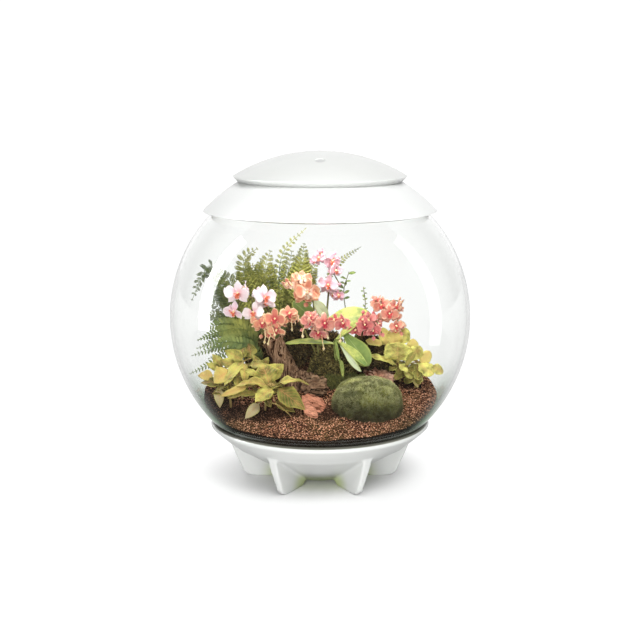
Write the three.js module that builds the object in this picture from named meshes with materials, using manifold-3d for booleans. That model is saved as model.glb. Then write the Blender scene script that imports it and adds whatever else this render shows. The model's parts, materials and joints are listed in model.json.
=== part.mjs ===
// A glass globe terrarium with orchids, a fern and foliage, on a six-finned stand.
// Millimetres, +Z up. The origin is on the ground under the middle of the globe; the front is -Y.
import * as THREE from 'three';
import { mergeVertices } from 'three/addons/utils/BufferGeometryUtils.js';
import Module from 'manifold-3d';

const wasm = await Module();
wasm.setup();

// driving dimensions
const globeRadius = 200;
const glassWall = 5;
const globeHeight = 222;        // height of the globe's centre above the ground
const fit = 0.45;               // gap between pieces that rest on each other
const mouthRadius = 93;
const collarRadius = 210;       // radius of the collar's outer sphere
const collarReach = 153.7;      // radius of the collar's lower rim
const lidRadius = 220;          // radius of the lid's outer sphere
const lidReach = 114.3;
const lidWall = 6;
const standRadius = 206.5;      // radius of the cup's outer sphere
const standRim = 145;
const hubRadius = 48;
const hubHeight = 8;
const finCount = 6;
const finFirst = 30;            // degrees from the front to the first fin
const roundSides = 32;
const cupSteps = 4;             // rings of the globe's wall inside the stand, and above it
const wallSteps = 7;

const deg = Math.PI / 180;
const vec = (x, y, z) => new THREE.Vector3(x, y, z);
const up = vec(0, 0, 1);

// ---- solids ----

function solidOf(geometry) {
  const bare = geometry.clone();
  bare.deleteAttribute('normal');
  bare.deleteAttribute('uv');
  const merged = mergeVertices(bare, 1e-4);
  const vertProperties = new Float32Array(merged.attributes.position.array);
  const triVerts = new Uint32Array(merged.index.array);
  return new wasm.Manifold(new wasm.Mesh({ numProp: 3, vertProperties, triVerts }));
}

function geometryOf(solid) {
  const mesh = solid.getMesh();
  const geometry = new THREE.BufferGeometry();
  geometry.setAttribute('position', new THREE.BufferAttribute(mesh.vertProperties, 3));
  geometry.setIndex(new THREE.BufferAttribute(mesh.triVerts, 1));
  return geometry;
}

function geometryFrom(points, faces) {
  const geometry = new THREE.BufferGeometry();
  const places = points.flatMap((p) => [p.x, p.y, p.z]);
  geometry.setAttribute('position', new THREE.Float32BufferAttribute(places, 3));
  geometry.setIndex(faces.flat());
  return geometry;
}

function joined(geometries) {
  return geometryOf(geometries.map(solidOf).reduce((whole, next) => whole.add(next)));
}

function cutBy(geometry, cutters) {
  return geometryOf(cutters.map(solidOf).reduce((whole, next) => whole.subtract(next), solidOf(geometry)));
}

// a closed profile of [radius, height] turned about Z
function turned(profile, sides = roundSides) {
  const closed = [...profile, profile[0]].map(([r, z]) => new THREE.Vector2(r, z));
  const geometry = new THREE.LatheGeometry(closed, sides);
  geometry.rotateX(Math.PI / 2);
  return outward(geometry);
}

// turns a closed geometry's faces outwards if they point in
function outward(geometry) {
  const bare = geometry.clone();
  bare.deleteAttribute('normal');
  bare.deleteAttribute('uv');
  const merged = dropSlivers(mergeVertices(bare, 1e-4));
  const place = merged.attributes.position;
  const index = merged.index.array;
  let volume = 0;
  for (let i = 0; i < index.length; i += 3) {
    const [a, b, c] = [0, 1, 2].map((k) => new THREE.Vector3().fromBufferAttribute(place, index[i + k]));
    volume += a.dot(b.cross(c));
  }
  if (volume < 0) merged.setIndex([...index].reverse());
  return merged;
}

function dropSlivers(geometry) {
  const index = geometry.index.array;
  const kept = [];
  for (let i = 0; i < index.length; i += 3) {
    const [a, b, c] = [index[i], index[i + 1], index[i + 2]];
    if (a !== b && b !== c && c !== a) kept.push(a, b, c);
  }
  geometry.setIndex(kept);
  return geometry;
}

// points along an arc of a sphere about the globe's centre, between two radii from the axis
function shellArc(radius, from, to, steps, below = false) {
  const angle = (r) => Math.asin(Math.min(1, Math.abs(r) / radius));
  const first = from < 0 ? Math.PI - angle(from) : angle(from);
  const last = to < 0 ? Math.PI - angle(to) : angle(to);
  const side = below ? -1 : 1;
  return Array.from({ length: steps + 1 }, (_, i) => {
    const a = first + ((last - first) * i) / steps;
    return [Math.max(0, radius * Math.sin(a)), globeHeight + side * radius * Math.cos(a)];
  });
}

// the globe's own rings, at any radius: pieces that hug the glass share its stations
function globeRings(radius, first, last) {
  const rim = Math.asin(standRim / globeRadius);
  const mouth = Math.PI - Math.asin(mouthRadius / globeRadius);
  const count = Math.abs(last - first);
  return Array.from({ length: count + 1 }, (_, i) => {
    const station = first < last ? first + i : first - i;
    const above = (mouth - rim) * ((station - cupSteps) / wallSteps);
    const angle = station <= cupSteps ? (rim * station) / cupSteps : rim + above;
    return [radius * Math.sin(angle), globeHeight - radius * Math.cos(angle)];
  });
}

// a sheet of triangles made solid: half the thickness goes to each side of it
function thickened(points, faces, thickness) {
  const normals = points.map(() => vec(0, 0, 0));
  for (const [a, b, c] of faces) {
    const ab = points[b].clone().sub(points[a]);
    const normal = ab.cross(points[c].clone().sub(points[a]));
    for (const corner of [a, b, c]) normals[corner].add(normal);
  }
  normals.forEach((n) => n.normalize().multiplyScalar(thickness / 2));
  const top = points.map((p, i) => p.clone().add(normals[i]));
  const bottom = points.map((p, i) => p.clone().sub(normals[i]));
  return geometryFrom([...top, ...bottom], closedFaces(faces, points.length));
}

// the faces of a closed body between a sheet and its copy, whose points follow the sheet's own
function closedFaces(faces, count) {
  const edges = new Set(faces.flatMap(([a, b, c]) => [`${a},${b}`, `${b},${c}`, `${c},${a}`]));
  const walls = [];
  for (const edge of edges) {
    const [a, b] = edge.split(',').map(Number);
    if (!edges.has(`${b},${a}`)) walls.push([b, a, a + count], [b, a + count, b + count]);
  }
  const under = faces.map(([a, b, c]) => [c + count, b + count, a + count]);
  return [...faces, ...under, ...walls];
}

// a tube along points, each with its own radius: [x, y, z, radius]
function tube(stations, sides = 4, steps = stations.length) {
  const curve = new THREE.CatmullRomCurve3(stations.map(([x, y, z]) => vec(x, y, z)));
  const frames = curve.computeFrenetFrames(steps, false);
  const points = [];
  for (let i = 0; i <= steps; i += 1) {
    const t = i / steps;
    const centre = curve.getPoint(t);
    const spot = t * (stations.length - 1);
    const near = Math.min(Math.floor(spot), stations.length - 2);
    const radius = THREE.MathUtils.lerp(stations[near][3], stations[near + 1][3], spot - near);
    for (let k = 0; k < sides; k += 1) {
      const a = (k / sides) * 2 * Math.PI;
      const out = frames.normals[i].clone().multiplyScalar(Math.cos(a));
      out.addScaledVector(frames.binormals[i], Math.sin(a));
      points.push(centre.clone().addScaledVector(out, radius));
    }
  }
  const faces = [];
  for (let i = 0; i < steps; i += 1) {
    for (let k = 0; k < sides; k += 1) {
      const [a, b] = [i * sides + k, i * sides + ((k + 1) % sides)];
      faces.push([a, b, b + sides], [a, b + sides, a + sides]);
    }
  }
  for (let k = 1; k < sides - 1; k += 1) {
    const last = steps * sides;
    faces.push([0, k + 1, k], [last, last + k, last + k + 1]);
  }
  return outward(geometryFrom(points, faces));
}

// turns local axes (X along, Y across, Z face) to a heading, a rise and a roll, in degrees
function posed(geometry, [x, y, z], heading, rise = 0, roll = 0) {
  const turn = new THREE.Matrix4().makeRotationFromEuler(
    new THREE.Euler(roll * deg, -rise * deg, heading * deg, 'ZYX'));
  geometry.applyMatrix4(turn);
  geometry.translate(x, y, z);
  return geometry;
}

const material = (color, roughness, extra = {}) =>
  new THREE.MeshStandardMaterial({ color, roughness, metalness: 0, ...extra });

const whitePlastic = material(0xf1f2f0, 0.25);
const clearGlass = material(0xe8f2ee, 0.03, { transparent: true, opacity: 0.25 });
const soilFinish = material(0x7a4d33, 0.95);
const mossFinish = material(0x6d8038, 0.95);
const darkMossFinish = material(0x4a5528, 0.95);
const woodFinish = material(0x9d7c62, 0.85);
const redBarkFinish = material(0xc9866f, 0.85);
const brownBarkFinish = material(0x7d5842, 0.85);
const pinkBarkFinish = material(0xc08a78, 0.85);
const fernFinish = material(0x5f7a45, 0.6);
const leftLeafFinish = material(0xcfc56a, 0.5);
const rightLeafFinish = material(0xc3ba58, 0.5);
const orchidLeafFinish = material(0x9fb45a, 0.4);
const petalFinish = (color) => material(color, 0.5);
const sprigFinish = material(0x7d8f4a, 0.6);

const terrarium = new THREE.Group();

function place(name, geometry, finish) {
  geometry.computeVertexNormals();
  const mesh = new THREE.Mesh(geometry, finish);
  mesh.name = name;
  terrarium.add(mesh);
}

// ---- stand ----

// [distance from the axis, height above the ground]
const crease = [120, 54];
const underside = [[84, 31.5], [113, 49.5]];
const cupOuterReach = 124.5;     // where the cup's outer sphere meets the crease
const rimReach = standRim + 2.6;

// the stand's shallow cup, whose inside follows the globe
function standCup() {
  const inner = globeRings(globeRadius + fit, cupSteps, 0);
  const hub = [[0, hubHeight], [hubRadius, hubHeight]];
  const outer = shellArc(standRadius, cupOuterReach, rimReach, 2, true);
  return turned([...inner, ...hub, ...underside, crease, ...outer]);
}

const footInner = 50;            // the fin's flat foot runs between these distances from the axis
const footOuter = 91;
const toeRadius = 17;
const toeEnd = -12;              // degrees, where the toe's arc leaves off
const finOuterEdge = [[113.5, 26], [124, 53], [125.5, 60]];
const finInnerEdge = [[84, 36], [44, 13], [44, 6]];
const finHalfAtGround = 4;
const finHalfAtTop = 6.2;
const finTaperHeight = 50;

// one fin in the plane of its own radius, with the thickness tapering to the ground
function fin(heading) {
  const outline = new THREE.Shape();
  outline.moveTo(footInner, 0);
  outline.lineTo(footOuter, 0);
  outline.absarc(footOuter, toeRadius, toeRadius, -90 * deg, toeEnd * deg, false);
  for (const [r, z] of [...finOuterEdge, ...finInnerEdge]) outline.lineTo(r, z);
  const geometry = new THREE.ExtrudeGeometry(outline, { depth: 2, bevelEnabled: false, curveSegments: 4 });
  geometry.translate(0, 0, -1);
  geometry.rotateX(Math.PI / 2);
  const spots = geometry.attributes.position;
  for (let i = 0; i < spots.count; i += 1) {
    const height = Math.min(1, spots.getZ(i) / finTaperHeight);
    spots.setY(i, spots.getY(i) * THREE.MathUtils.lerp(finHalfAtGround, finHalfAtTop, height));
  }
  geometry.rotateZ(heading * deg);
  return outward(geometry);
}

// the fins are cut to the cup's underside, and meet it with the usual gap
function makeStand() {
  place('stand', standCup(), whitePlastic);
  const cupSpace = standCup();
  cupSpace.translate(0, 0, -fit);
  for (let i = 0; i < finCount; i += 1) {
    const heading = -90 + finFirst + (i * 360) / finCount;
    place(`stand_fin_${i + 1}`, cutBy(fin(heading), [cupSpace]), whitePlastic);
  }
}

// ---- glass and covers ----

function makeGlobe() {
  const outer = globeRings(globeRadius, 0, cupSteps + wallSteps);
  const inner = globeRings(globeRadius - glassWall, cupSteps + wallSteps, 0);
  place('globe', turned([...outer, ...inner]), clearGlass);
}

const hookRadius = mouthRadius - 3.4;
const hookWall = 3.6;
const hookLow = globeHeight + 166;
const collarBore = hookRadius - hookWall;
const collarSeatRadius = globeRadius + 1.1;   // the sphere that rests on the globe's facets
const collarSeatReach = 143.2;

// a ring over the mouth, with a hook that reaches down inside the globe's rim
function makeCollar() {
  const outer = shellArc(collarRadius, collarBore, collarReach, 3);
  const under = shellArc(collarSeatRadius, collarSeatReach, hookRadius, 2);
  const hook = [[hookRadius, hookLow], [collarBore, hookLow]];
  place('collar', turned([...outer, ...under, ...hook]), whitePlastic);
}

const buttonRadius = 6;
const buttonReach = 60;          // distance of the button from the lid's axis, to the front
const buttonTilt = Math.asin(buttonReach / lidRadius) / deg;

// a short disc on the lid's dome, centred on the button's place
function buttonDisc(radius, low, high) {
  const disc = new THREE.CylinderGeometry(radius, radius, high - low, 12);
  disc.rotateX(Math.PI / 2);
  disc.translate(0, 0, (low + high) / 2);
  disc.rotateX(buttonTilt * deg);
  disc.translate(0, 0, globeHeight);
  return disc;
}

const spigotRadius = collarBore - fit;        // the ring under the lid that locates it in the collar
const spigotWall = 4;
const spigotLow = globeHeight + 171;
const seatSphere = collarRadius + fit + 0.3;  // the lid's foot rests on the collar's facets
const seatReach = 101;
const shadowSphere = 213.2;                   // the lid's edge hangs this far out, above a shadow gap
const shadowReach = [108.3, 102];
const recessSphere = lidRadius - 2.2;
const buttonSpheres = [lidRadius - 1.9, lidRadius - 0.6];

function makeLid() {
  const on = (sphere, r) => [r, globeHeight + Math.sqrt(sphere * sphere - r * r)];
  const outer = shellArc(lidRadius, 0, lidReach, 4);
  const edge = shadowReach.map((r) => on(shadowSphere, r));
  const foot = [on(seatSphere, seatReach), on(seatSphere, spigotRadius)];
  const ring = [[spigotRadius, spigotLow], [spigotRadius - spigotWall, spigotLow]];
  const under = shellArc(lidRadius - lidWall, spigotRadius - spigotWall, 0, 2);
  const shell = turned([...outer, ...edge, ...foot, ...ring, ...under]);
  const recess = buttonDisc(buttonRadius + 0.4, recessSphere, lidRadius + 5);
  place('lid', cutBy(shell, [recess]), whitePlastic);
  place('lid_button', buttonDisc(buttonRadius, ...buttonSpheres), whitePlastic);
}

// ---- ground ----

const soilLevel = 109.5;
const soilSlope = 0.1;         // rise to the back
const mounds = [
  { x: 20, y: 52, height: 30, spread: 60 },
  { x: -14, y: 52, height: 34, spread: 26 },
];
const soilEdge = { height: 2, reach: 165 };
const soilRipple = 1.2;

// height of the soil's surface above the ground
function soilHeight(x, y) {
  const rises = mounds.map(({ height, spread, ...mound }) =>
    height * Math.exp(-((x - mound.x) ** 2 + (y - mound.y) ** 2) / (2 * spread ** 2)));
  const edge = soilEdge.height * ((x * x + y * y) / soilEdge.reach ** 2);
  const ripple = soilRipple * Math.sin(x * 0.09 + 1) * Math.cos(y * 0.11);
  return soilLevel + soilSlope * y + edge + rises[0] + rises[1] + ripple;
}

// a plain square hole from above, down to the height that a stem's foot stands at
function stemHole([x, y], half, footHeight) {
  const reach = 80;
  const prism = new THREE.BoxGeometry(2 * (half + fit), 2 * (half + fit), reach);
  prism.translate(x, y, footHeight - fit + reach / 2);
  return prism;
}

function soilBody() {
  const reach = globeRadius - glassWall - fit;
  const points = [];
  const faces = [];
  // the surface runs out past the glass and is cut to it by the bowl
  const wide = globeRadius;
  const across = 14;
  for (let i = 0; i <= across; i += 1) {
    for (let j = 0; j <= across; j += 1) {
      const [x, y] = [i, j].map((k) => -wide + (2 * wide * k) / across);
      points.push(vec(x, y, soilHeight(x, y)));
    }
  }
  for (let i = 0; i < across; i += 1) {
    for (let j = 0; j < across; j += 1) {
      const a = i * (across + 1) + j;
      const b = a + across + 1;
      faces.push([a, b, b + 1], [a, b + 1, a + 1]);
    }
  }
  const onGround = points.map((p) => vec(p.x, p.y, 0));
  const cover = outward(geometryFrom([...points, ...onGround], closedFaces(faces, points.length)));
  const bowlArc = globeRings(reach, 0, cupSteps + 3);
  const bowl = turned([...bowlArc, [0, bowlArc.at(-1)[1]]]);
  return geometryOf(solidOf(bowl).intersect(solidOf(cover)));
}

// a rounded lump with a formula's relief
function lump([x, y, z], [a, b, c], rings, sides, relief) {
  const geometry = outward(new THREE.SphereGeometry(1, sides, rings));
  const spots = geometry.attributes.position;
  for (let i = 0; i < spots.count; i += 1) {
    const p = new THREE.Vector3().fromBufferAttribute(spots, i);
    const swell = 1 + relief(p.x, p.y, p.z);
    spots.setXYZ(i, x + p.x * a * swell, y + p.z * b * swell, z + p.y * c * swell);
  }
  return outward(geometry);
}

const mossBall = { at: [63, -52, 113.5], half: [46, 45, 35] };
const mossMound = { at: [16, 24, 138], half: [31, 31, 41] };

// the reliefs are shares of the lump's size, over its unit sphere
function mossBallShape(grow = 0) {
  const relief = (x, y, z) => 0.03 * Math.sin(5 * x + 1) * Math.cos(4 * z) - 0.05 * Math.max(0, -y);
  return lump(mossBall.at, mossBall.half.map((h) => h + grow), 8, 15, relief);
}

function mossMoundShape(grow = 0) {
  const relief = (x, y, z) => 0.07 * Math.sin(4 * x + 2 * z) * Math.cos(5 * y) + 0.04 * Math.sin(9 * z);
  return lump(mossMound.at, mossMound.half.map((h) => h + grow), 8, 12, relief);
}

// ---- wood and bark ----

const stump = [
  [-35, 2, 106, 19.5],
  [-38, 4, 130, 16.5],
  [-46, 7, 150, 14.5],
  [-57, 10, 170, 14.5],
  [-64, 12, 187, 16],
];
const stumpRoot = [
  [-44, 2, 138, 9],
  [-30, -3, 139, 8.5],
  [-17, -8, 134, 6],
];

function driftwoodShape(grow = 0) {
  const swollen = (stations) => stations.map(([x, y, z, r]) => [x, y, z, r + grow]);
  return joined([tube(swollen(stump), 9, 7), tube(swollen(stumpRoot), 6, 3)]);
}

// a slab of bark: a leaf-shaped outline, bent and leaning
const barks = {
  bark_front: { at: [-5, -61, 111], length: 46, width: 36, thick: 7, heading: 95, rise: 36, roll: 6 },
  bark_brown: { at: [-7, -25, 131], length: 34, width: 38, thick: 12, heading: 88, rise: 58, roll: -8 },
  bark_back: { at: [82, 17, 134], length: 46, width: 27, thick: 10, heading: 8, rise: -6, roll: 33 },
};

function barkShape({ at, length, width, thick, heading, rise, roll }, grow = 0) {
  const relief = (x, y, z) => 0.12 * Math.sin(7 * x + 3 * z) * Math.cos(3 * y) + 0.06 * Math.cos(11 * z);
  const slab = lump([0, 0, 0], [length / 2 + grow, width / 2 + grow, thick / 2 + grow], 6, 11, relief);
  return posed(slab, at, heading, rise, roll);
}

// ---- fern ----

// the rib starts at the stalk's foot [x, y] in the soil and runs on to the tip; width is the frond's
// full width, bare is the share of the rib without leaflets, and face is where the upper side looks
const fronds = [
  {
    rib: [[-50, 62], [-57, 58, 240], [-51, 62, 299], [-19, 72, 333]],
    width: 26, pairs: 9, bare: 0.3, face: [0.2, -1, 0.3],
  },
  {
    rib: [[-38, 78], [-29, 80, 250], [-26, 86, 282], [-22, 92, 309]],
    width: 40, pairs: 8, bare: 0.45, face: [0, -1, 0.2],
  },
  {
    rib: [[-26, 84], [6, 92, 250], [30, 96, 284], [58, 92, 304]],
    width: 22, pairs: 8, bare: 0.5, face: [-0.3, -1, 0.3],
  },
  {
    rib: [[-78, 62], [-98, 66, 240], [-106, 68, 290], [-86, 60, 306]],
    width: 38, pairs: 8, bare: 0.35, face: [0.3, -1, 0.1],
  },
  {
    rib: [[-66, 74], [-74, 84, 220], [-78, 92, 270], [-70, 98, 298]],
    width: 48, pairs: 8, bare: 0.35, face: [0.1, -1, 0.2],
  },
  {
    rib: [[-84, 54], [-104, 50, 210], [-122, 46, 256], [-138, 36, 282]],
    width: 42, pairs: 8, bare: 0.35, face: [0.3, -1, 0.3],
  },
  {
    rib: [[-56, 84], [-50, 100, 220], [-46, 108, 262], [-40, 110, 296]],
    width: 44, pairs: 8, bare: 0.4, face: [0, -1, 0.2],
  },
  {
    rib: [[-92, 46], [-112, 32, 196], [-130, 24, 222], [-152, 12, 244]],
    width: 36, pairs: 9, bare: 0.3, face: [0.4, -1, 0.6],
  },
  {
    rib: [[-90, 64], [-126, 62, 240], [-152, 46, 284], [-168, 18, 252]],
    width: 30, pairs: 8, bare: 0.35, face: [0.5, -1, 0.5],
  },
  {
    rib: [[-84, 40], [-96, 24, 196], [-128, 8, 210], [-160, -8, 205]],
    width: 32, pairs: 8, bare: 0.3, face: [0.1, -0.7, 1],
  },
  {
    rib: [[-76, 32], [-88, 4, 176], [-122, -14, 190], [-164, -28, 184]],
    width: 30, pairs: 8, bare: 0.3, face: [0.1, -0.7, 1],
  },
];
const frondThickness = 1.1;
const frondDepth = 12;           // how deep the stalk's foot stands in the soil
const leafletsEnd = 0.97;        // share of the rib where the last leaflet ends
const stalkSteps = 3;
const ribHalf = (t) => 1.15 - 0.5 * t;

const frondFoot = ([x, y]) => [x, y, soilHeight(x, y) - frondDepth];

// the stations along the rib: a few on the bare stalk, then one at each leaflet's root
function ribStations(pairs, bare) {
  const onStalk = Array.from({ length: stalkSteps }, (_, i) => (bare * i) / stalkSteps);
  const onBlade = Array.from({ length: pairs + 1 }, (_, i) => bare + ((leafletsEnd - bare) * i) / pairs);
  return [...onStalk, ...onBlade];
}

// one thin arched blade, its leaflets cut to the rib
function frondShape({ rib, width, pairs, bare, face }) {
  const [start, ...course] = rib;
  const foot = frondFoot(start);
  const stem = [foot[0], foot[1], foot[2] + frondDepth + 14];
  const curve = new THREE.CatmullRomCurve3([foot, stem, ...course].map((p) => vec(...p)));
  const points = [];
  const faces = [];
  const stations = ribStations(pairs, bare);
  const frame = (t) => {
    const along = curve.getTangentAt(t);
    const side = along.clone().cross(vec(...face)).normalize();
    return { spot: curve.getPointAt(t), along, side, normal: side.clone().cross(along) };
  };
  stations.forEach((t) => {
    const { spot, side } = frame(t);
    for (const half of [ribHalf(t), -ribHalf(t)]) points.push(spot.clone().addScaledVector(side, half));
  });
  for (let i = 0; i < stations.length - 1; i += 1) {
    const [a, b] = [2 * i, 2 * i + 1];
    faces.push([a, a + 2, b], [b, a + 2, b + 2]);
  }
  for (let i = stalkSteps; i < stations.length - 1; i += 1) {
    const t = (stations[i] + stations[i + 1]) / 2;
    const { spot, along, side, normal } = frame(t);
    const part = (t - bare) / (1 - bare);
    const reach = (width / 2) * Math.pow(Math.sin(Math.PI * Math.min(1, 0.16 + 0.84 * part)), 0.75);
    const step = (curve.getLength() * (leafletsEnd - bare)) / pairs;
    for (const hand of [1, -1]) {
      const tip = spot.clone().addScaledVector(side, hand * reach);
      tip.addScaledVector(along, 0.42 * reach).addScaledVector(normal, -0.16 * reach);
      const shoulder = spot.clone().addScaledVector(side, hand * reach * 0.52);
      shoulder.addScaledVector(along, 0.22 * reach + 0.42 * step).addScaledVector(normal, -0.04 * reach);
      const root = 2 * i + (hand === 1 ? 0 : 1);
      const next = points.push(tip, shoulder) - 2;
      if (hand === 1) faces.push([root, next, next + 1], [root, next + 1, root + 2]);
      else faces.push([root, next + 1, next], [root, root + 2, next + 1]);
    }
  }
  return thickened(points, faces, frondThickness);
}

// ---- leaves ----

// a leaf along +X with its face to +Z: folded along the midrib, arched, with a waved edge;
// each row is [share of the length, share of the half width]
const stalkedRows = [[0, 0.1], [0.15, 0.15], [0.43, 0.97], [0.75, 0.8]];
const strapRows = [[0, 0.16], [0.2, 0.5], [0.5, 0.98], [0.82, 0.76]];

function leafShape({ length, width, fold = 18, arch = 30, wave = 0.07, thick = 0.9, rows = stalkedRows }) {
  const stations = [...rows.map(([s]) => s), 1];
  const spots = [];
  let [x, z, last] = [0, 0, 0];
  for (const s of stations) {
    const lean = arch * (0.5 - (s + last) / 2) * deg;
    x += length * (s - last) * Math.cos(lean);
    z += length * (s - last) * Math.sin(lean);
    spots.push(vec(x, 0, z));
    last = s;
  }
  const tip = rows.length;
  const points = [...spots];
  const edges = [1, -1].map((hand) => rows.map(([s, share], i) => {
    const half = (width / 2) * share;
    const ripple = wave * width * share * Math.sin(9 * s + (hand === 1 ? 0 : 1.9));
    const lift = half * Math.sin(fold * deg) + ripple;
    return points.push(vec(spots[i].x, hand * half * Math.cos(fold * deg), spots[i].z + lift)) - 1;
  }));
  const [left, right] = edges;
  const faces = [];
  for (let i = 0; i < tip - 1; i += 1) {
    faces.push([i, i + 1, left[i]], [left[i], i + 1, left[i + 1]]);
    faces.push([i, right[i], i + 1], [right[i], right[i + 1], i + 1]);
  }
  faces.push([tip - 1, tip, left[tip - 1]], [tip - 1, right[tip - 1], tip]);
  return thickened(points, faces, thick);
}

const leafFoot = 12;             // how deep a stem stands in the soil
const stemRadius = 1.6;
const rootSunk = 1.1;            // how far a leaf's root runs into its stem

// a stem from the soil to the crown, and its leaves; a leaf's root is sunk in the stem
function leafyStem({ foot, low, crown, stem = stemRadius, leaves }, habit = {}) {
  const [x, y] = foot;
  const bottom = low ?? soilHeight(x, y) - leafFoot;
  const crownRadius = stem * 1.7;
  const [cx, cy, cz] = crown;
  const middle = [(x + cx) / 2, (y + cy) / 2, (bottom + cz) / 2 + 4, stem];
  const upright = [[x, y, bottom, stem], [x, y, bottom + leafFoot, stem]];
  const stalk = tube([...upright, middle, [cx, cy, cz, crownRadius]], 6, 3);
  const blades = leaves.map(({ from = crown, heading, rise, roll = 0, ...shape }) => {
    const out = vec(Math.cos(heading * deg), Math.sin(heading * deg), 0.3 * Math.sin(rise * deg));
    const root = vec(...from).addScaledVector(out, crownRadius - rootSunk);
    root.z -= crownRadius / 2;
    return posed(leafShape({ ...habit, ...shape }), [root.x, root.y, root.z], heading, rise, roll);
  });
  return joined([stalk, ...blades]);
}

const tinyRows = [[0, 0.22], [0.5, 1]];
const tinyLeaf = { rows: tinyRows };
const strapLeaf = { rows: strapRows, thick: 1.4, wave: 0.02 };

const leftFoliage = [
  {
    foot: [-72, -56],
    crown: [-69, -60, 143],
    leaves: [
      { heading: 62, rise: 34, length: 36, width: 25 },
      { heading: 8, rise: 6, length: 46, width: 22, roll: 12 },
      { heading: -128, rise: -16, length: 28, width: 20 },
      { heading: -48, rise: -16, length: 40, width: 22, roll: 14 },
      { heading: 178, rise: 6, length: 33, width: 18 },
      { heading: -158, rise: -14, length: 46, width: 17 },
      { heading: 112, rise: 46, length: 26, width: 16 },
      { from: [-70, -57.5, 123], heading: -124, rise: -30, length: 30, width: 15 },
    ],
  },
  {
    foot: [-118, -40],
    crown: [-121, -45, 148],
    leaves: [
      { heading: 28, rise: 28, length: 32, width: 24 },
      { heading: 138, rise: 26, length: 25, width: 17 },
      { heading: 180, rise: 8, length: 38, width: 16 },
      { heading: -152, rise: -14, length: 34, width: 17 },
      { heading: -96, rise: -46, length: 30, width: 15 },
      { heading: -34, rise: 6, length: 27, width: 17 },
    ],
  },
  {
    foot: [-104, -14],
    crown: [-108, -16, 158],
    leaves: [
      { heading: 162, rise: 20, length: 30, width: 19 },
      { heading: 66, rise: 34, length: 24, width: 17 },
      { heading: -172, rise: 2, length: 38, width: 16 },
      { heading: -2, rise: 10, length: 34, width: 18 },
      { heading: -100, rise: 42, length: 20, width: 16 },
    ],
  },
];

const rightFoliage = [
  {
    foot: [111, 30],
    crown: [106, 20, 168],
    leaves: [
      { heading: 96, rise: 44, length: 32, width: 26 },
      { heading: -78, rise: -8, length: 32, width: 28 },
      { heading: -160, rise: -16, length: 34, width: 18 },
      { heading: 166, rise: 24, length: 34, width: 18 },
      { heading: 22, rise: 14, length: 25, width: 15 },
      { heading: -20, rise: 0, length: 20, width: 15 },
    ],
  },
  {
    foot: [132, 20],
    crown: [135, 14, 155],
    leaves: [
      { heading: 104, rise: 48, length: 23, width: 16 },
      { heading: 26, rise: 44, length: 21, width: 15 },
      { heading: -26, rise: -14, length: 22, width: 14 },
      { heading: 2, rise: 4, length: 30, width: 14 },
      { heading: -136, rise: -10, length: 22, width: 14 },
    ],
  },
  {
    foot: [124, 44],
    crown: [126, 40, 134],
    leaves: [
      { heading: -70, rise: 10, length: 20, width: 11, rows: tinyRows },
      { heading: 170, rise: 18, length: 20, width: 11, rows: tinyRows },
      { heading: 20, rise: 30, length: 18, width: 10, rows: tinyRows },
    ],
  },
];

const orchidLeaves = [
  {
    foot: [2, 26],
    low: 160,
    stem: 2,
    crown: [0, 24, 204],
    leaves: [
      { heading: 172, rise: 36, length: 54, width: 27, roll: -28, fold: 10 },
      { heading: 54, rise: 60, length: 38, width: 15, fold: 24 },
      { heading: 8, rise: 14, length: 68, width: 26, roll: 42, fold: 8 },
    ],
  },
  {
    foot: [22, 2],
    low: 148,
    stem: 2,
    crown: [21, -3, 188],
    leaves: [
      { heading: -20, rise: 38, length: 38, width: 17, fold: 42 },
      { heading: 197, rise: 6, length: 70, width: 24, fold: 6, arch: 14 },
      { heading: -48, rise: -44, length: 46, width: 13, roll: 30, fold: 30 },
      { heading: -8, rise: -32, length: 50, width: 26, roll: 50, fold: 8 },
    ],
  },
];

// ---- orchid sprays ----

const petalThickness = 0.8;
// a bloom faces +Z with its top to +Y. Each lobe is [heading, breadth, layer]: three sepals lie
// behind and two broad petals in front of them, all from one ring of roots
const bloomLobes = [[4, 0.98, 1], [90, 0.6, -1], [176, 0.98, 1], [220, 0.58, -1], [320, 0.58, -1]];
// shares of the bloom's reach
const rootReach = 0.16;
const widestReach = 0.52;
const petalEnd = { reach: 0.97, half: 0.24, lift: 0.2 };
const sepalLift = 0.1;

function petalRing(reach) {
  const rootHeading = (i) => {
    const [here] = bloomLobes[i];
    const [next] = bloomLobes[(i + 1) % bloomLobes.length];
    return (here + (((next - here) + 360) % 360) / 2) * deg;
  };
  const points = bloomLobes.map((_, i) =>
    vec(Math.cos(rootHeading(i)), Math.sin(rootHeading(i)), 0).multiplyScalar(rootReach * reach));
  const faces = [[0, 1, 2], [0, 2, 3], [0, 3, 4]];
  bloomLobes.forEach(([heading, breadth, layer], i) => {
    const along = vec(Math.cos(heading * deg), Math.sin(heading * deg), 0);
    const side = vec(-along.y, along.x, 0);
    const right = (i + bloomLobes.length - 1) % bloomLobes.length;
    const rim = (out, half, lift) => {
      const spot = along.clone().multiplyScalar(out * reach);
      return points.push(spot.addScaledVector(side, half * breadth * reach).setZ(lift)) - 1;
    };
    const wideRight = rim(widestReach, -0.5, layer * 0.9 + 0.6);
    const wideLeft = rim(widestReach, 0.5, layer * 0.9 + 0.6);
    faces.push([right, wideRight, i], [i, wideRight, wideLeft]);
    if (layer < 0) {
      faces.push([wideRight, rim(1, 0, sepalLift * reach), wideLeft]);
    } else {
      const endRight = rim(petalEnd.reach, -petalEnd.half, petalEnd.lift * reach);
      const endLeft = rim(petalEnd.reach, petalEnd.half, petalEnd.lift * reach);
      faces.push([wideRight, endRight, wideLeft], [wideLeft, endRight, endLeft]);
    }
  });
  return thickened(points, faces, petalThickness);
}

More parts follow.
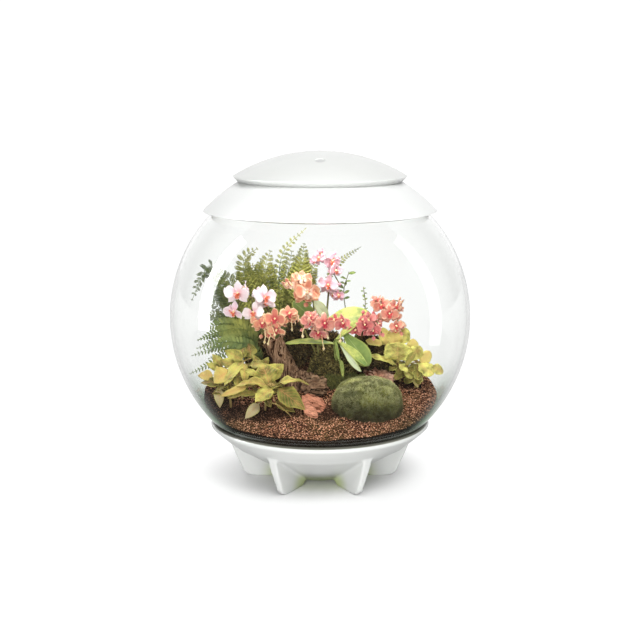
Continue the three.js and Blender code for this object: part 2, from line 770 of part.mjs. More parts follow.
// turns a bloom to face a heading and a rise, with its top kept up
function facing(geometry, at, heading, rise) {
  const out = vec(
    Math.cos(heading * deg) * Math.cos(rise * deg),
    Math.sin(heading * deg) * Math.cos(rise * deg),
    Math.sin(rise * deg));
  const right = up.clone().cross(out).normalize();
  const top = out.clone().cross(right);
  geometry.applyMatrix4(new THREE.Matrix4().makeBasis(right, top, out));
  geometry.translate(...at);
  return { geometry, out };
}

// a bloom on its stalk, which runs on through the ring of petals as the column and the lip
function bloomSolids({ at, size, heading = -90, rise = 5 }, joint) {
  const reach = size / 2;
  const { geometry, out } = facing(petalRing(reach), at, heading, rise);
  const centre = vec(...at);
  const station = (forward, down, radius) => {
    const spot = centre.clone().addScaledVector(out, forward).addScaledVector(up, -down);
    return [spot.x, spot.y, spot.z, radius];
  };
  const stalk = [[joint.x, joint.y, joint.z, 0.7], station(-4, 0, 0.8), station(1.5, 0.2, 1.5)];
  const lip = [station(4.6, 0.16 * reach, 2.6), station(4, 0.42 * reach, 1)];
  return [geometry, tube([...stalk, ...lip], 3, 4)];
}

const sprayFootRadius = 1.3;
const sprayStemRadius = 1.1;

// a spray's stem runs from its foot through its stations; a bloom's joint is the station it hangs from
function spray({ foot, low, stem, blooms, buds = [] }) {
  const [x, y] = foot;
  const bottom = low ?? soilHeight(x, y) - leafFoot;
  const upright = [bottom, bottom + leafFoot + 4].map((z) => [x, y, z, sprayFootRadius]);
  const stations = [...upright, ...stem.map((p) => [...p, sprayStemRadius])];
  const jointAt = (k) => vec(...stem[k]);
  const solids = [tube(stations, 4, stations.length - 1)];
  for (const { joint, ...bloom } of blooms) solids.push(...bloomSolids(bloom, jointAt(joint)));
  for (const { at, joint } of buds) {
    const from = jointAt(joint);
    solids.push(lump(at, [3.4, 3.4, 4.6], 4, 6, () => 0));
    solids.push(tube([[from.x, from.y, from.z, 0.7], [...at, 0.7]], 3, 1));
  }
  return joined(solids);
}

const sprays = {
  orchid_pink_white: {
    color: 0xf0d7e2, foot: [-58, 36],
    stem: [[-62, 32, 180], [-74, 22, 232], [-92, 18, 244], [-107, 22, 240]],
    blooms: [
      { at: [-111, 15, 252], size: 30, joint: 3, heading: -96 },
      { at: [-76, 12, 246], size: 30, joint: 1, heading: -70 },
      { at: [-117, 12, 227], size: 28, joint: 3, heading: -104 },
      { at: [-91, 4, 226], size: 28, joint: 2, heading: -88 },
    ],
  },
  orchid_salmon: {
    color: 0xe39070, foot: [-6, 22], low: 150,
    stem: [[-16, 12, 190], [-34, 4, 220], [-56, 0, 222], [-74, -1, 214]],
    blooms: [
      { at: [-77, -10, 213], size: 27, joint: 3, heading: -104 },
      { at: [-57, -14, 219], size: 29, joint: 2, heading: -92 },
      { at: [-43, -6, 228], size: 26, joint: 1, heading: -76, rise: 16 },
    ],
  },
  orchid_rose: {
    color: 0xd9716e, foot: [-2, 14], low: 150,
    stem: [[-4, 11, 192], [-4, 0, 212], [12, -12, 221], [28, -16, 217]],
    blooms: [
      { at: [-11, -18, 218], size: 27, joint: 1, heading: -106 },
      { at: [6, -24, 217], size: 28, joint: 2, heading: -84 },
      { at: [30, -25, 217], size: 23, joint: 3, heading: -78 },
    ],
  },
  orchid_red: {
    color: 0xd4606a, foot: [38, 16], low: 148,
    stem: [[46, 12, 186], [54, 6, 206], [66, 8, 214], [76, 12, 214]],
    blooms: [
      { at: [62, -10, 212], size: 24, joint: 1, heading: -92 },
      { at: [68, 1, 221], size: 23, joint: 2, heading: -84, rise: 20 },
      { at: [78, -3, 203], size: 24, joint: 3, heading: -72, rise: -4 },
    ],
  },
  orchid_far_salmon: {
    color: 0xe58a73, foot: [64, 44],
    stem: [[66, 40, 180], [74, 36, 222], [90, 34, 234], [106, 27, 214]],
    blooms: [
      { at: [86, 27, 232], size: 27, joint: 2, heading: -98, rise: 12 },
      { at: [96, 18, 219], size: 26, joint: 2, heading: -84 },
      { at: [106, 14, 204], size: 22, joint: 3, heading: -72, rise: -6 },
    ],
  },
  orchid_top_pink: {
    color: 0xe8a5b4, foot: [6, 62],
    stem: [[8, 60, 200], [12, 54, 250], [12, 58, 284], [4, 64, 298]],
    blooms: [
      { at: [-1, 56, 299], size: 27, joint: 3, heading: -100, rise: 10 },
      { at: [17, 46, 293], size: 28, joint: 2, heading: -76 },
      { at: [22, 40, 276], size: 25, joint: 2, heading: -66 },
      { at: [10, 34, 262], size: 29, joint: 1, heading: -92 },
      { at: [24, 34, 244], size: 19, joint: 1, heading: -70 },
    ],
  },
  orchid_centre_salmon: {
    color: 0xec9c7c, foot: [-14, 58],
    stem: [[-10, 52, 200], [-9, 44, 232], [-14, 32, 250], [-24, 30, 264]],
    blooms: [
      { at: [-18, 6, 257], size: 36, joint: 2, heading: -84 },
      { at: [-24, 20, 274], size: 28, joint: 3, heading: -94, rise: 26 },
      { at: [-39, 16, 265], size: 25, joint: 3, heading: -116 },
    ],
    buds: [{ at: [-19, 10, 240], joint: 2 }],
  },
};

// ---- sprigs ----

const sprigs = [
  {
    foot: [54, 56],
    crown: [60, 32, 254],
    stem: 0.9,
    leaves: [
      { heading: 120, rise: 50, length: 9, width: 6 },
      { heading: 10, rise: 40, length: 8, width: 6 },
      { heading: -100, rise: 20, length: 8, width: 6 },
    ],
  },
  {
    foot: [34, 70],
    crown: [34, 62, 264],
    stem: 1,
    leaves: [
      { heading: 70, rise: 40, length: 15, width: 8 },
      { heading: -10, rise: 20, length: 14, width: 8 },
      { heading: 190, rise: 30, length: 12, width: 7 },
    ],
  },
];

// ---- the whole ----

// true of a foot that stands in the moss mound rather than in the soil beside it
function inMound([x, y]) {
  const { at, half } = mossMound;
  return ((x - at[0]) / half[0]) ** 2 + ((y - at[1]) / half[1]) ** 2 < 0.9;
}

const frondFootHalf = 1.5;

function makeGround() {
  const sprayList = Object.values(sprays);
  const sprayHole = ({ foot, low }) =>
    stemHole(foot, sprayFootRadius, low ?? soilHeight(...foot) - leafFoot);
  const leafHoles = [...leftFoliage, ...rightFoliage, ...sprigs].map(({ foot, stem = stemRadius }) =>
    stemHole(foot, stem, soilHeight(...foot) - leafFoot));
  const frondHoles = fronds.map(({ rib }) => stemHole(rib[0], frondFootHalf, frondFoot(rib[0])[2]));
  const sprayHoles = sprayList.filter(({ foot }) => !inMound(foot)).map(sprayHole);
  const barkHollows = Object.values(barks).map((bark) => barkShape(bark, fit));
  const hollows = [mossBallShape(fit), mossMoundShape(fit), driftwoodShape(fit), ...barkHollows];
  place('soil', cutBy(soilBody(), [...hollows, ...leafHoles, ...frondHoles, ...sprayHoles]), soilFinish);
  place('moss_ball', mossBallShape(), mossFinish);
  const rosetteHoles = orchidLeaves.map(({ foot, low, stem }) => stemHole(foot, stem, low));
  const inMoundHoles = sprayList.filter(({ foot }) => inMound(foot)).map(sprayHole);
  place('moss_mound', cutBy(mossMoundShape(), [...inMoundHoles, ...rosetteHoles]), darkMossFinish);
}

function makeWood() {
  place('driftwood', driftwoodShape(), woodFinish);
  place('bark_front', barkShape(barks.bark_front), redBarkFinish);
  place('bark_brown', barkShape(barks.bark_brown), brownBarkFinish);
  place('bark_back', barkShape(barks.bark_back), pinkBarkFinish);
}

function makePlants() {
  fronds.forEach((frond, i) => place(`fern_frond_${i + 1}`, frondShape(frond), fernFinish));
  leftFoliage.forEach((plant, i) => place(`left_foliage_${i + 1}`, leafyStem(plant), leftLeafFinish));
  rightFoliage.forEach((plant, i) => place(`right_foliage_${i + 1}`, leafyStem(plant), rightLeafFinish));
  orchidLeaves.forEach((plant, i) =>
    place(`orchid_leaves_${i + 1}`, leafyStem(plant, strapLeaf), orchidLeafFinish));
  sprigs.forEach((plant, i) => place(`sprig_${i + 1}`, leafyStem(plant, tinyLeaf), sprigFinish));
  for (const [name, plant] of Object.entries(sprays)) place(name, spray(plant), petalFinish(plant.color));
}

makeStand();
makeGlobe();
makeCollar();
makeLid();
makeGround();
makeWood();
makePlants();

export default terrarium;
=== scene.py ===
# A glass globe terrarium with orchids, a fern and foliage, on a six-finned stand.
# Metres, +Z up; the front faces -Y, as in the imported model. Colours are given as screen red, green, blue.
import json
import math
import random

import bmesh
import bpy
from mathutils import Matrix, Vector, noise

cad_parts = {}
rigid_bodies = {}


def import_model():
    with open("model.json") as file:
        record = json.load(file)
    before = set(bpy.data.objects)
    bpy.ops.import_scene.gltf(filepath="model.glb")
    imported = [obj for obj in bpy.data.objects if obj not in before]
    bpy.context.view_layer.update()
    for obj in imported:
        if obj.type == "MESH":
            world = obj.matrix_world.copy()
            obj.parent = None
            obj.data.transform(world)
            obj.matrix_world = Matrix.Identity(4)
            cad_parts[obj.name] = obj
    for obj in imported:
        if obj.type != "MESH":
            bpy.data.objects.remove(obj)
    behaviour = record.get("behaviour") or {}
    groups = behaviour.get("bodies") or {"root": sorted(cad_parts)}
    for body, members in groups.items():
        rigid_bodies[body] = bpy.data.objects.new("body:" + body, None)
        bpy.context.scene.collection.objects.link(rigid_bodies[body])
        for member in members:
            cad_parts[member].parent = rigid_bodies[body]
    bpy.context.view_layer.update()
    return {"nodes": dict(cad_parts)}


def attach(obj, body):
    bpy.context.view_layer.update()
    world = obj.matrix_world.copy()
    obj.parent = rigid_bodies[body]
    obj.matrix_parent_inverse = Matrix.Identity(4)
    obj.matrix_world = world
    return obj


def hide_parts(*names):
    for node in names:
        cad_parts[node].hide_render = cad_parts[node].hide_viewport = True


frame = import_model()
mm = 0.001
globe = {"radius": 200 * mm, "wall": 5 * mm, "height": 222 * mm, "fit": 0.45 * mm, "mouth": 93 * mm,
         "steps": 90, "sides": 192}
globeCentre = Vector((0, 0, globe["height"]))
print("frame loaded,", len(frame["nodes"]), "nodes")


view = {"distance": 1.6, "elevation": 11.0, "aimBelow": 0.18, "lens": 67.1}


def makeCamera():
    lift = math.radians(view["elevation"])
    data = bpy.data.cameras.new("camera")
    data.lens = view["lens"]
    camera = newObject("camera", data)
    back = view["distance"] * math.cos(lift)
    camera.location = (0, -back, globe["height"] + view["distance"] * math.sin(lift))
    camera.rotation_euler = (math.radians(90 - view["elevation"] - view["aimBelow"]), 0, 0)
    bpy.context.scene.camera = camera


studio = {
    "behind": 1.1,
    "front": 0.12,
    "turn": (0.55, 0.94),
    "floorColour": (236, 236, 236),
    "floorReach": 9.0,
    "floorFade": (0.08, 0.2),
    "floorTurn": (-0.2, 0.95),
    "floorMirrored": (0.05, 0.9),
}
# lamps that look at the globe: place, size and power
lamps = {
    "key": ((0.4, -1.3, 1.7), (0.9, 0.9), 32.0),
    "fill": ((-0.2, -1.7, 0.4), (1.5, 0.8), 26.0),
    "back": ((-0.5, 1.6, 1.2), (1.2, 0.8), 9.0),
    "top": ((0.05, -0.25, 1.7), (0.7, 0.7), 5.0),
}
# lamps with directions of their own: place, across, along, size, power, and whether they are only mirrored
turnedLamps = {
    "inside": ((0, -0.01, 0.385), (1, 0, 0), (0, 1, 0), (0.12, 0.12), 0.6, False),
    "leftStrip": ((-0.767, -0.06, 0.56), (0, -1, 0.04), (0.07, 0.06, 0.99), (0.165, 0.85), 8.0, True),
    "rightStrip": ((0.767, -0.06, 0.51), (0, 1, -0.04), (-0.07, 0.04, 0.99), (0.17, 0.97), 1.35, True),
}


# an area lamp: across and along are its own two directions, and it shines away from across x along
def makeLamp(name, at, across, along, size, power, mirrored=False):
    data = bpy.data.lights.new(name, "AREA")
    data.shape = "RECTANGLE"
    data.size, data.size_y = size
    data.energy = power
    lamp = newObject(name, data)
    across, along = Vector(across).normalized(), Vector(along)
    along = (along - across * along.dot(across)).normalized()
    turn = Matrix((across, along, across.cross(along))).transposed().to_4x4()
    lamp.matrix_world = Matrix.Translation(at) @ turn
    lamp.visible_glossy = mirrored
    lamp.visible_diffuse = not mirrored
    lamp.visible_camera = False
    lamp.visible_transmission = False


def aimedLamp(name, at, size, power):
    out = (Vector(at) - globeCentre).normalized()
    across = Vector((0, 0, 1)).cross(out).normalized()
    makeLamp(name, at, across, out.cross(across), size, power)


# the two strips stand where the globe mirrors them at the left and right, as in a studio
def makeStudio():
    scene = bpy.context.scene
    scene.view_settings.view_transform = "Standard"
    world = bpy.data.worlds.new("studio")
    scene.world = world
    world.use_nodes = True
    tree = world.node_tree
    background = tree.nodes["Background"]
    sky = addNode(tree, "ShaderNodeTexCoord").outputs["Generated"]
    strength = ranged(tree, partsOf(tree, sky)["Y"], *studio["turn"], studio["front"], studio["behind"])
    # seen straight on, the room is as white as the floor
    seen = addNode(tree, "ShaderNodeLightPath").outputs["Is Camera Ray"]
    put(tree, blended(tree, seen, strength, studio["behind"]), background.inputs["Strength"])
    put(tree, (1, 1, 1, 1), background.inputs["Color"])
    for name, values in lamps.items():
        aimedLamp(name, *values)
    for name, values in turnedLamps.items():
        makeLamp(name, *values)


def makeFloor():
    reach = studio["floorReach"]
    corners = [(-reach, -reach, 0), (reach, -reach, 0), (reach, reach, 0), (-reach, reach, 0)]
    mesh = bpy.data.meshes.new("floor")
    mesh.from_pydata(corners, [], [(0, 1, 2, 3)])
    floor = newObject("floor", mesh)
    material, tree, shader = newMaterial("floorPaper", 0.9, 0.0)
    put(tree, studio["floorColour"], shader.inputs["Base Color"])
    place = objectPlace(tree)
    far = ranged(tree, lengthOf(tree, place), *studio["floorFade"])
    depth = addNode(tree, "ShaderNodeLightPath").outputs["Glossy Depth"]
    mirrored = mathValue(tree, "MINIMUM", depth, 1.0)
    back = partsOf(tree, vectorMath(tree, "NORMALIZE", place)[0])["Y"]
    seen = ranged(tree, back, *studio["floorTurn"], *studio["floorMirrored"])
    strength = blended(tree, mirrored, studio["behind"], seen)
    glow = addNode(tree, "ShaderNodeEmission", inputs={"Strength": strength}).outputs[0]
    mixSurface(tree, mathValue(tree, "MAXIMUM", far, mirrored), shader.outputs[0], glow)
    mesh.materials.append(material)


def paint(red, green, blue):
    def toLinear(value):
        share = value / 255
        return share / 12.92 if share <= 0.04045 else ((share + 0.055) / 1.055) ** 2.4
    return toLinear(red), toLinear(green), toLinear(blue), 1.0


# sets or links an input; a colour of three numbers is in screen values
def put(tree, value, socket):
    if isinstance(value, bpy.types.NodeSocket):
        tree.links.new(value, socket)
    elif socket.type == "RGBA" and len(value) == 3:
        socket.default_value = paint(*value)
    else:
        socket.default_value = value


def addNode(tree, kind, settings=None, inputs=None):
    made = tree.nodes.new(kind)
    for key, value in (settings or {}).items():
        setattr(made, key, value)
    for key, value in (inputs or {}).items():
        put(tree, value, made.inputs[key])
    return made


def mathValue(tree, operation, first, second=0.0):
    return addNode(tree, "ShaderNodeMath", {"operation": operation}, {0: first, 1: second}).outputs[0]


def times(tree, first, second):
    return mathValue(tree, "MULTIPLY", first, second)


def vectorMath(tree, operation, first, second=(0, 0, 0)):
    return addNode(tree, "ShaderNodeVectorMath", {"operation": operation}, {0: first, 1: second}).outputs


def lengthOf(tree, vector):
    return vectorMath(tree, "LENGTH", vector)["Value"]


def partsOf(tree, vector):
    return addNode(tree, "ShaderNodeSeparateXYZ", inputs={0: vector}).outputs


def vectorOf(tree, x=0.0, y=0.0, z=0.0):
    return addNode(tree, "ShaderNodeCombineXYZ", inputs={0: x, 1: y, 2: z}).outputs[0]


# how far a value lies from a half
def fromHalf(tree, value):
    return mathValue(tree, "ABSOLUTE", mathValue(tree, "SUBTRACT", value, 0.5))


def mixed(tree, factor, first, second):
    inputs = {0: factor, 6: first, 7: second}
    return addNode(tree, "ShaderNodeMix", {"data_type": "RGBA"}, inputs).outputs[2]


def blended(tree, factor, first, second):
    return addNode(tree, "ShaderNodeMix", inputs={0: factor, 2: first, 3: second}).outputs[0]


def mixSurface(tree, factor, first, second):
    mix = addNode(tree, "ShaderNodeMixShader", inputs={0: factor, 1: first, 2: second})
    put(tree, mix.outputs[0], tree.nodes["Material Output"].inputs["Surface"])


# three colours over a value from 0 to 1
def ramped(tree, value, first, middle, last, at):
    ramp = addNode(tree, "ShaderNodeValToRGB", inputs={0: value})
    ramp.color_ramp.elements[0].color = paint(*first)
    ramp.color_ramp.elements[1].color = paint(*last)
    ramp.color_ramp.elements.new(at).color = paint(*middle)
    return ramp.outputs[0]


def ranged(tree, value, low, high, toLow=0.0, toHigh=1.0):
    inputs = {"Value": value, "From Min": low, "From Max": high, "To Min": toLow, "To Max": toHigh}
    return addNode(tree, "ShaderNodeMapRange", {"interpolation_type": "SMOOTHSTEP"}, inputs).outputs[0]


def bumped(tree, height, strength, distance, under=None):
    inputs = {"Height": height, "Strength": strength, "Distance": distance}
    if under is not None:
        inputs["Normal"] = under
    return addNode(tree, "ShaderNodeBump", inputs=inputs).outputs[0]


def newMaterial(name, roughness=0.5, gloss=0.5):
    material = bpy.data.materials.new(name)
    material.use_nodes = True
    tree = material.node_tree
    shader = tree.nodes["Principled BSDF"]
    put(tree, roughness, shader.inputs["Roughness"])
    put(tree, gloss, shader.inputs["Specular IOR Level"])
    return material, tree, shader


def setColour(tree, shader, colour):
    put(tree, colour, shader.inputs["Base Color"])


def setBump(tree, shader, height, strength, distance, under=None):
    put(tree, bumped(tree, height, strength, distance, under), shader.inputs["Normal"])


def newGroup(name, kind, inputs, outputs):
    tree = bpy.data.node_groups.new(name, kind)
    for label, socketKind, value in inputs:
        socket = tree.interface.new_socket(name=label, in_out="INPUT", socket_type=socketKind)
        if value is not None:
            socket.default_value = value
    for label, socketKind in outputs:
        tree.interface.new_socket(name=label, in_out="OUTPUT", socket_type=socketKind)
    return tree, tree.nodes.new("NodeGroupInput").outputs, tree.nodes.new("NodeGroupOutput").inputs


def newEffect(name, inputs, outputs):
    return newGroup(name, "ShaderNodeTree", inputs, outputs)


def useEffect(tree, effect, inputs):
    made = tree.nodes.new("ShaderNodeGroup")
    made.node_tree = effect
    for key, value in inputs.items():
        put(tree, value, made.inputs[key])
    return made.outputs


def objectPlace(tree):
    return addNode(tree, "ShaderNodeTexCoord").outputs["Object"]


def surfacePlace(tree):
    return addNode(tree, "ShaderNodeUVMap", {"uv_map": "surface"}).outputs[0]


def tintOf(tree):
    return addNode(tree, "ShaderNodeAttribute", {"attribute_name": "tint"}).outputs["Fac"]


vectorKind, numberKind, colourKind = "NodeSocketVector", "NodeSocketFloat", "NodeSocketColor"


# soft blotches between two colours
def makeMottle():
    tree, given, result = newEffect(
        "mottle",
        [("Place", vectorKind, (0, 0, 0)), ("Scale", numberKind, 60.0), ("Contrast", numberKind, 0.2),
         ("First", colourKind, (0, 0, 0, 1)), ("Second", colourKind, (1, 1, 1, 1))],
        [("Colour", colourKind), ("Mask", numberKind)])
    cloud = addNode(tree, "ShaderNodeTexNoise", inputs={
        "Vector": given["Place"], "Scale": given["Scale"], "Detail": 5.0, "Roughness": 0.62})
    low = mathValue(tree, "SUBTRACT", 0.5, given["Contrast"])
    high = mathValue(tree, "ADD", 0.5, given["Contrast"])
    mask = ranged(tree, cloud.outputs[0], low, high)
    put(tree, mixed(tree, mask, given["First"], given["Second"]), result["Colour"])
    put(tree, mask, result["Mask"])
    return tree


# rounded grains: a random value for each and the height of its dome
def makeGrains():
    tree, given, result = newEffect(
        "grains",
        [("Place", vectorKind, (0, 0, 0)), ("Scale", numberKind, 300.0)],
        [("Value", numberKind), ("Height", numberKind)])
    cells = addNode(tree, "ShaderNodeTexVoronoi", inputs={
        "Vector": given["Place"], "Scale": given["Scale"]}).outputs
    colour = addNode(tree, "ShaderNodeSeparateColor", inputs={0: cells["Color"]})
    put(tree, colour.outputs[0], result["Value"])
    put(tree, ranged(tree, cells["Distance"], 0.0, 0.75, 1.0, 0.0), result["Height"])
    return tree


# long fibres along one axis: Stretch is small along the fibre
def makeFibres():
    tree, given, result = newEffect(
        "fibres",
        [("Place", vectorKind, (0, 0, 0)), ("Stretch", vectorKind, (1, 1, 0.1)),
         ("Scale", numberKind, 300.0), ("Bend", numberKind, 0.4)],
        [("Mask", numberKind), ("Height", numberKind)])
    drawn = vectorMath(tree, "MULTIPLY", given["Place"], given["Stretch"])[0]
    lines = addNode(tree, "ShaderNodeTexNoise", inputs={
        "Vector": drawn, "Scale": given["Scale"], "Detail": 4.0, "Distortion": given["Bend"]})
    put(tree, ranged(tree, lines.outputs[0], 0.36, 0.64), result["Mask"])
    put(tree, lines.outputs[0], result["Height"])
    return tree


# midrib and side veins over a leaf's or petal's own surface: x runs along, y across
def makeVeins():
    tree, given, result = newEffect(
        "veins",
        [("Surface", vectorKind, (0, 0, 0)), ("Count", numberKind, 8.0), ("Slope", numberKind, 5.0),
         ("Width", numberKind, 0.16), ("Rib", numberKind, 0.03)],
        [("Mask", numberKind), ("Side", numberKind), ("Across", numberKind)])
    parts = partsOf(tree, given["Surface"])
    across = fromHalf(tree, parts["Y"])
    along = times(tree, parts["X"], given["Count"])
    slant = mathValue(tree, "SUBTRACT", along, times(tree, across, given["Slope"]))
    saw = fromHalf(tree, mathValue(tree, "FRACT", slant))
    side = ranged(tree, saw, 0.0, given["Width"], 1.0, 0.0)
    rib = ranged(tree, across, 0.0, given["Rib"], 1.0, 0.0)
    put(tree, mathValue(tree, "MAXIMUM", side, rib), result["Mask"])
    put(tree, side, result["Side"])
    put(tree, times(tree, across, 2.0), result["Across"])
    return tree


mottle = makeMottle()
grains = makeGrains()
fibres = makeFibres()
veins = makeVeins()


# blotches between two colours, or only their mask
def mottled(tree, place, scale, contrast, first=(0, 0, 0), second=(255, 255, 255)):
    return useEffect(tree, mottle, {"Place": place, "Scale": scale, "Contrast": contrast,
                                    "First": first, "Second": second})


def grained(tree, place, scale):
    return useEffect(tree, grains, {"Place": place, "Scale": scale})


nearness = 0.002 * mm


def newObject(name, data):
    made = bpy.data.objects.new(name, data)
    bpy.context.collection.objects.link(made)
    return made


def inMetres(points):
    return [Vector(point) * mm for point in points]


# merges points, drops edges without a length and turns the faces outwards, as asked
def cleanMesh(mesh, merge=0.0, dissolve=0.0, outwards=False):
    sheet = bmesh.new()
    sheet.from_mesh(mesh)
    if merge:
        bmesh.ops.remove_doubles(sheet, verts=sheet.verts, dist=merge)
    if dissolve:
        bmesh.ops.dissolve_degenerate(sheet, edges=sheet.edges, dist=dissolve)
    if outwards:
        bmesh.ops.recalc_face_normals(sheet, faces=sheet.faces)
    sheet.to_mesh(mesh)
    sheet.free()


# rolling unevenness of about one unit, for a place in millimetres
def rumple(point, scale, seed=0):
    return noise.fractal(point * scale + Vector((seed, 0, 0)), 1.0, 2.0, 4)


def newShape():
    return {"points": [], "uvs": [], "tints": [], "faces": [], "slots": []}


# rows of points; a row runs across the surface's own y, and the rows follow each other along its x
def addGrid(shape, rows, slot=0, tint=0.5, wrap=False, flip=False):
    start = len(shape["points"])
    width = len(rows[0])
    for i, row in enumerate(rows):
        for j, point in enumerate(row):
            shape["points"].append(Vector(point))
            shape["uvs"].append((i / (len(rows) - 1), j / (width - (not wrap))))
            shape["tints"].append(tint)
    for i in range(len(rows) - 1):
        for j in range(width if wrap else width - 1):
            a = start + i * width + j
            b = start + i * width + (j + 1) % width
            face = (a, b, b + width, a + width) if flip else (a, a + width, b + width, b)
            shape["faces"].append(face)
            shape["slots"].append(slot)


def finishShape(shape, name, materials, thickness=0.0):
    mesh = bpy.data.meshes.new(name)
    mesh.from_pydata([tuple(point) for point in shape["points"]], [], shape["faces"])
    surface = mesh.uv_layers.new(name="surface")
    corners = [0] * len(mesh.loops)
    mesh.loops.foreach_get("vertex_index", corners)
    surface.data.foreach_set("uv", [value for corner in corners for value in shape["uvs"][corner]])
    tint = mesh.attributes.new("tint", "FLOAT", "POINT")
    tint.data.foreach_set("value", shape["tints"])
    mesh.polygons.foreach_set("material_index", shape["slots"])
    mesh.polygons.foreach_set("use_smooth", [True] * len(mesh.polygons))
    for material in materials:
        mesh.materials.append(material)
    cleanMesh(mesh, merge=nearness)
    piece = newObject(name, mesh)
    if thickness:
        solid = piece.modifiers.new("thickness", "SOLIDIFY")
        solid.thickness = thickness
        solid.offset = 0
        baked(piece)
    return piece


# applies the modifiers: the result becomes the piece's plain mesh
def baked(piece):
    graph = bpy.context.evaluated_depsgraph_get()
    shown = piece.evaluated_get(graph)
    mesh = bpy.data.meshes.new_from_object(shown, preserve_all_data_layers=True, depsgraph=graph)
    piece.modifiers.clear()
    piece.data = mesh
    return piece


def joinPieces(name, pieces):
    for piece in bpy.context.view_layer.objects:
        piece.select_set(False)
    for piece in pieces:
        piece.select_set(True)
    bpy.context.view_layer.objects.active = pieces[0]
    if len(pieces) > 1:
        bpy.ops.object.join()
    pieces[0].name = name
    pieces[0].data.name = name
    return pieces[0]


# pulls every point that would pass the glass back inside it
def keepInside(piece, gap=5 * mm):
    limit = globe["radius"] - globe["wall"] - gap
    for vertex in piece.data.vertices:
        out = vertex.co - globeCentre
        if out.length > limit:
            vertex.co = globeCentre + out * (limit / out.length)


def finishPiece(piece, slot, *nodes):
    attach(piece, "root")
    if nodes:
        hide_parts(*nodes)
    return piece


# the value at s of a smooth line through (s, value) rows
def valueAt(rows, s):
    i = max(k for k in range(len(rows) - 1) if rows[k][0] <= s or k == 0)
    (s0, v0), (s1, v1) = rows[i], rows[i + 1]
    before = rows[i - 1] if i > 0 else (s0 - (s1 - s0), v0)
    after = rows[i + 2] if i + 2 < len(rows) else (s1 + (s1 - s0), v1)
    span = s1 - s0
    m0 = (v1 - before[1]) / (s1 - before[0]) * span
    m1 = (after[1] - v0) / (after[0] - s0) * span
    t = (s - s0) / span
    start = (2 * t ** 3 - 3 * t ** 2 + 1) * v0 + (t ** 3 - 2 * t ** 2 + t) * m0
    return start + (3 * t ** 2 - 2 * t ** 3) * v1 + (t ** 3 - t ** 2) * m1


# a centripetal curve through stations, so that uneven ones don't make it swing out
def curveThrough(stations, steps):
    ends = [stations[0] * 2 - stations[1], *stations, stations[-1] * 2 - stations[-2]]
    knots = [0.0]
    for a, b in zip(ends, ends[1:]):
        knots.append(knots[-1] + max((b - a).length, 1e-6) ** 0.5)
    points = []
    for k in range(1, len(ends) - 2):
        t0, t1, t2, t3 = knots[k - 1:k + 3]
        p0, p1, p2, p3 = ends[k - 1:k + 3]
        for i in range(steps + (k == len(ends) - 3)):
            t = t1 + (t2 - t1) * i / steps
            a1 = p0 * ((t1 - t) / (t1 - t0)) + p1 * ((t - t0) / (t1 - t0))
            a2 = p1 * ((t2 - t) / (t2 - t1)) + p2 * ((t - t1) / (t2 - t1))
            a3 = p2 * ((t3 - t) / (t3 - t2)) + p3 * ((t - t2) / (t3 - t2))
            b1 = a1 * ((t2 - t) / (t2 - t0)) + a2 * ((t - t0) / (t2 - t0))
            b2 = a2 * ((t3 - t) / (t3 - t1)) + a3 * ((t - t1) / (t3 - t1))
            points.append(b1 * ((t2 - t) / (t2 - t1)) + b2 * ((t - t1) / (t2 - t1)))
    return points


# rings around a course of points; the first and last are drawn to a point, which closes the tube
def tubeRows(points, radii, sides):
    tangents = [(points[min(i + 1, len(points) - 1)] - points[max(i - 1, 0)]).normalized()
                for i in range(len(points))]
    side = tangents[0].orthogonal().normalized()
    rows = [[points[0]] * sides]
    for point, tangent, radius in zip(points, tangents, radii):
        side = (side - tangent * side.dot(tangent)).normalized()
        other = tangent.cross(side)
        turns = [2 * math.pi * k / sides for k in range(sides)]
        rows.append([point + (side * math.cos(a) + other * math.sin(a)) * radius for a in turns])
    rows.append([points[-1]] * sides)
    return rows


def addTube(shape, stations, radii, sides=8, steps=5, slot=0, tint=0.5):
    points = curveThrough(stations, steps)
    last = len(points) - 1
    rows = list(enumerate(radius * mm for radius in radii))
    spread = [valueAt(rows, i / last * (len(radii) - 1)) for i in range(len(points))]
    addGrid(shape, tubeRows(points, spread, sides), slot, tint, wrap=True, flip=True)


# x along, y across and z out of the face, turned to a heading, a rise and a roll in degrees
def poseMatrix(at, heading, rise=0, roll=0):
    turn = Matrix.Rotation(math.radians(heading), 4, "Z")
    turn = turn @ Matrix.Rotation(-math.radians(rise), 4, "Y")
    return Matrix.Translation(at) @ turn @ Matrix.Rotation(math.radians(roll), 4, "X")


geometryKind = "NodeSocketGeometry"


def newGeometryTree(name, inputs):
    return newGroup(name, "GeometryNodeTree", [("Geometry", geometryKind, None), *inputs],
                    [("Geometry", geometryKind)])


def runTree(piece, tree, values):
    modifier = piece.modifiers.new(tree.name, "NODES")
    modifier.node_group = tree
    for item in tree.interface.items_tree:
        if item.in_out == "INPUT" and item.name in values:
            modifier[item.identifier] = values[item.name]
    return baked(piece)


def randomVector(tree, low, high, seed):
    made = addNode(tree, "FunctionNodeRandomValue", {"data_type": "FLOAT_VECTOR"})
    put(tree, low, made.inputs[0])
    put(tree, high, made.inputs[1])
    put(tree, seed, made.inputs["Seed"])
    return made.outputs[0]


def randomNumber(tree, low, high, seed):
    made = addNode(tree, "FunctionNodeRandomValue", {"data_type": "FLOAT"})
    put(tree, low, made.inputs[2])
    put(tree, high, made.inputs[3])
    put(tree, seed, made.inputs["Seed"])
    return made.outputs[1]


def storedNumber(tree, geometry, domain, name, value):
    settings = {"data_type": "FLOAT", "domain": domain}
    return addNode(tree, "GeometryNodeStoreNamedAttribute", settings,
                   {"Geometry": geometry, "Name": name, "Value": value}).outputs[0]


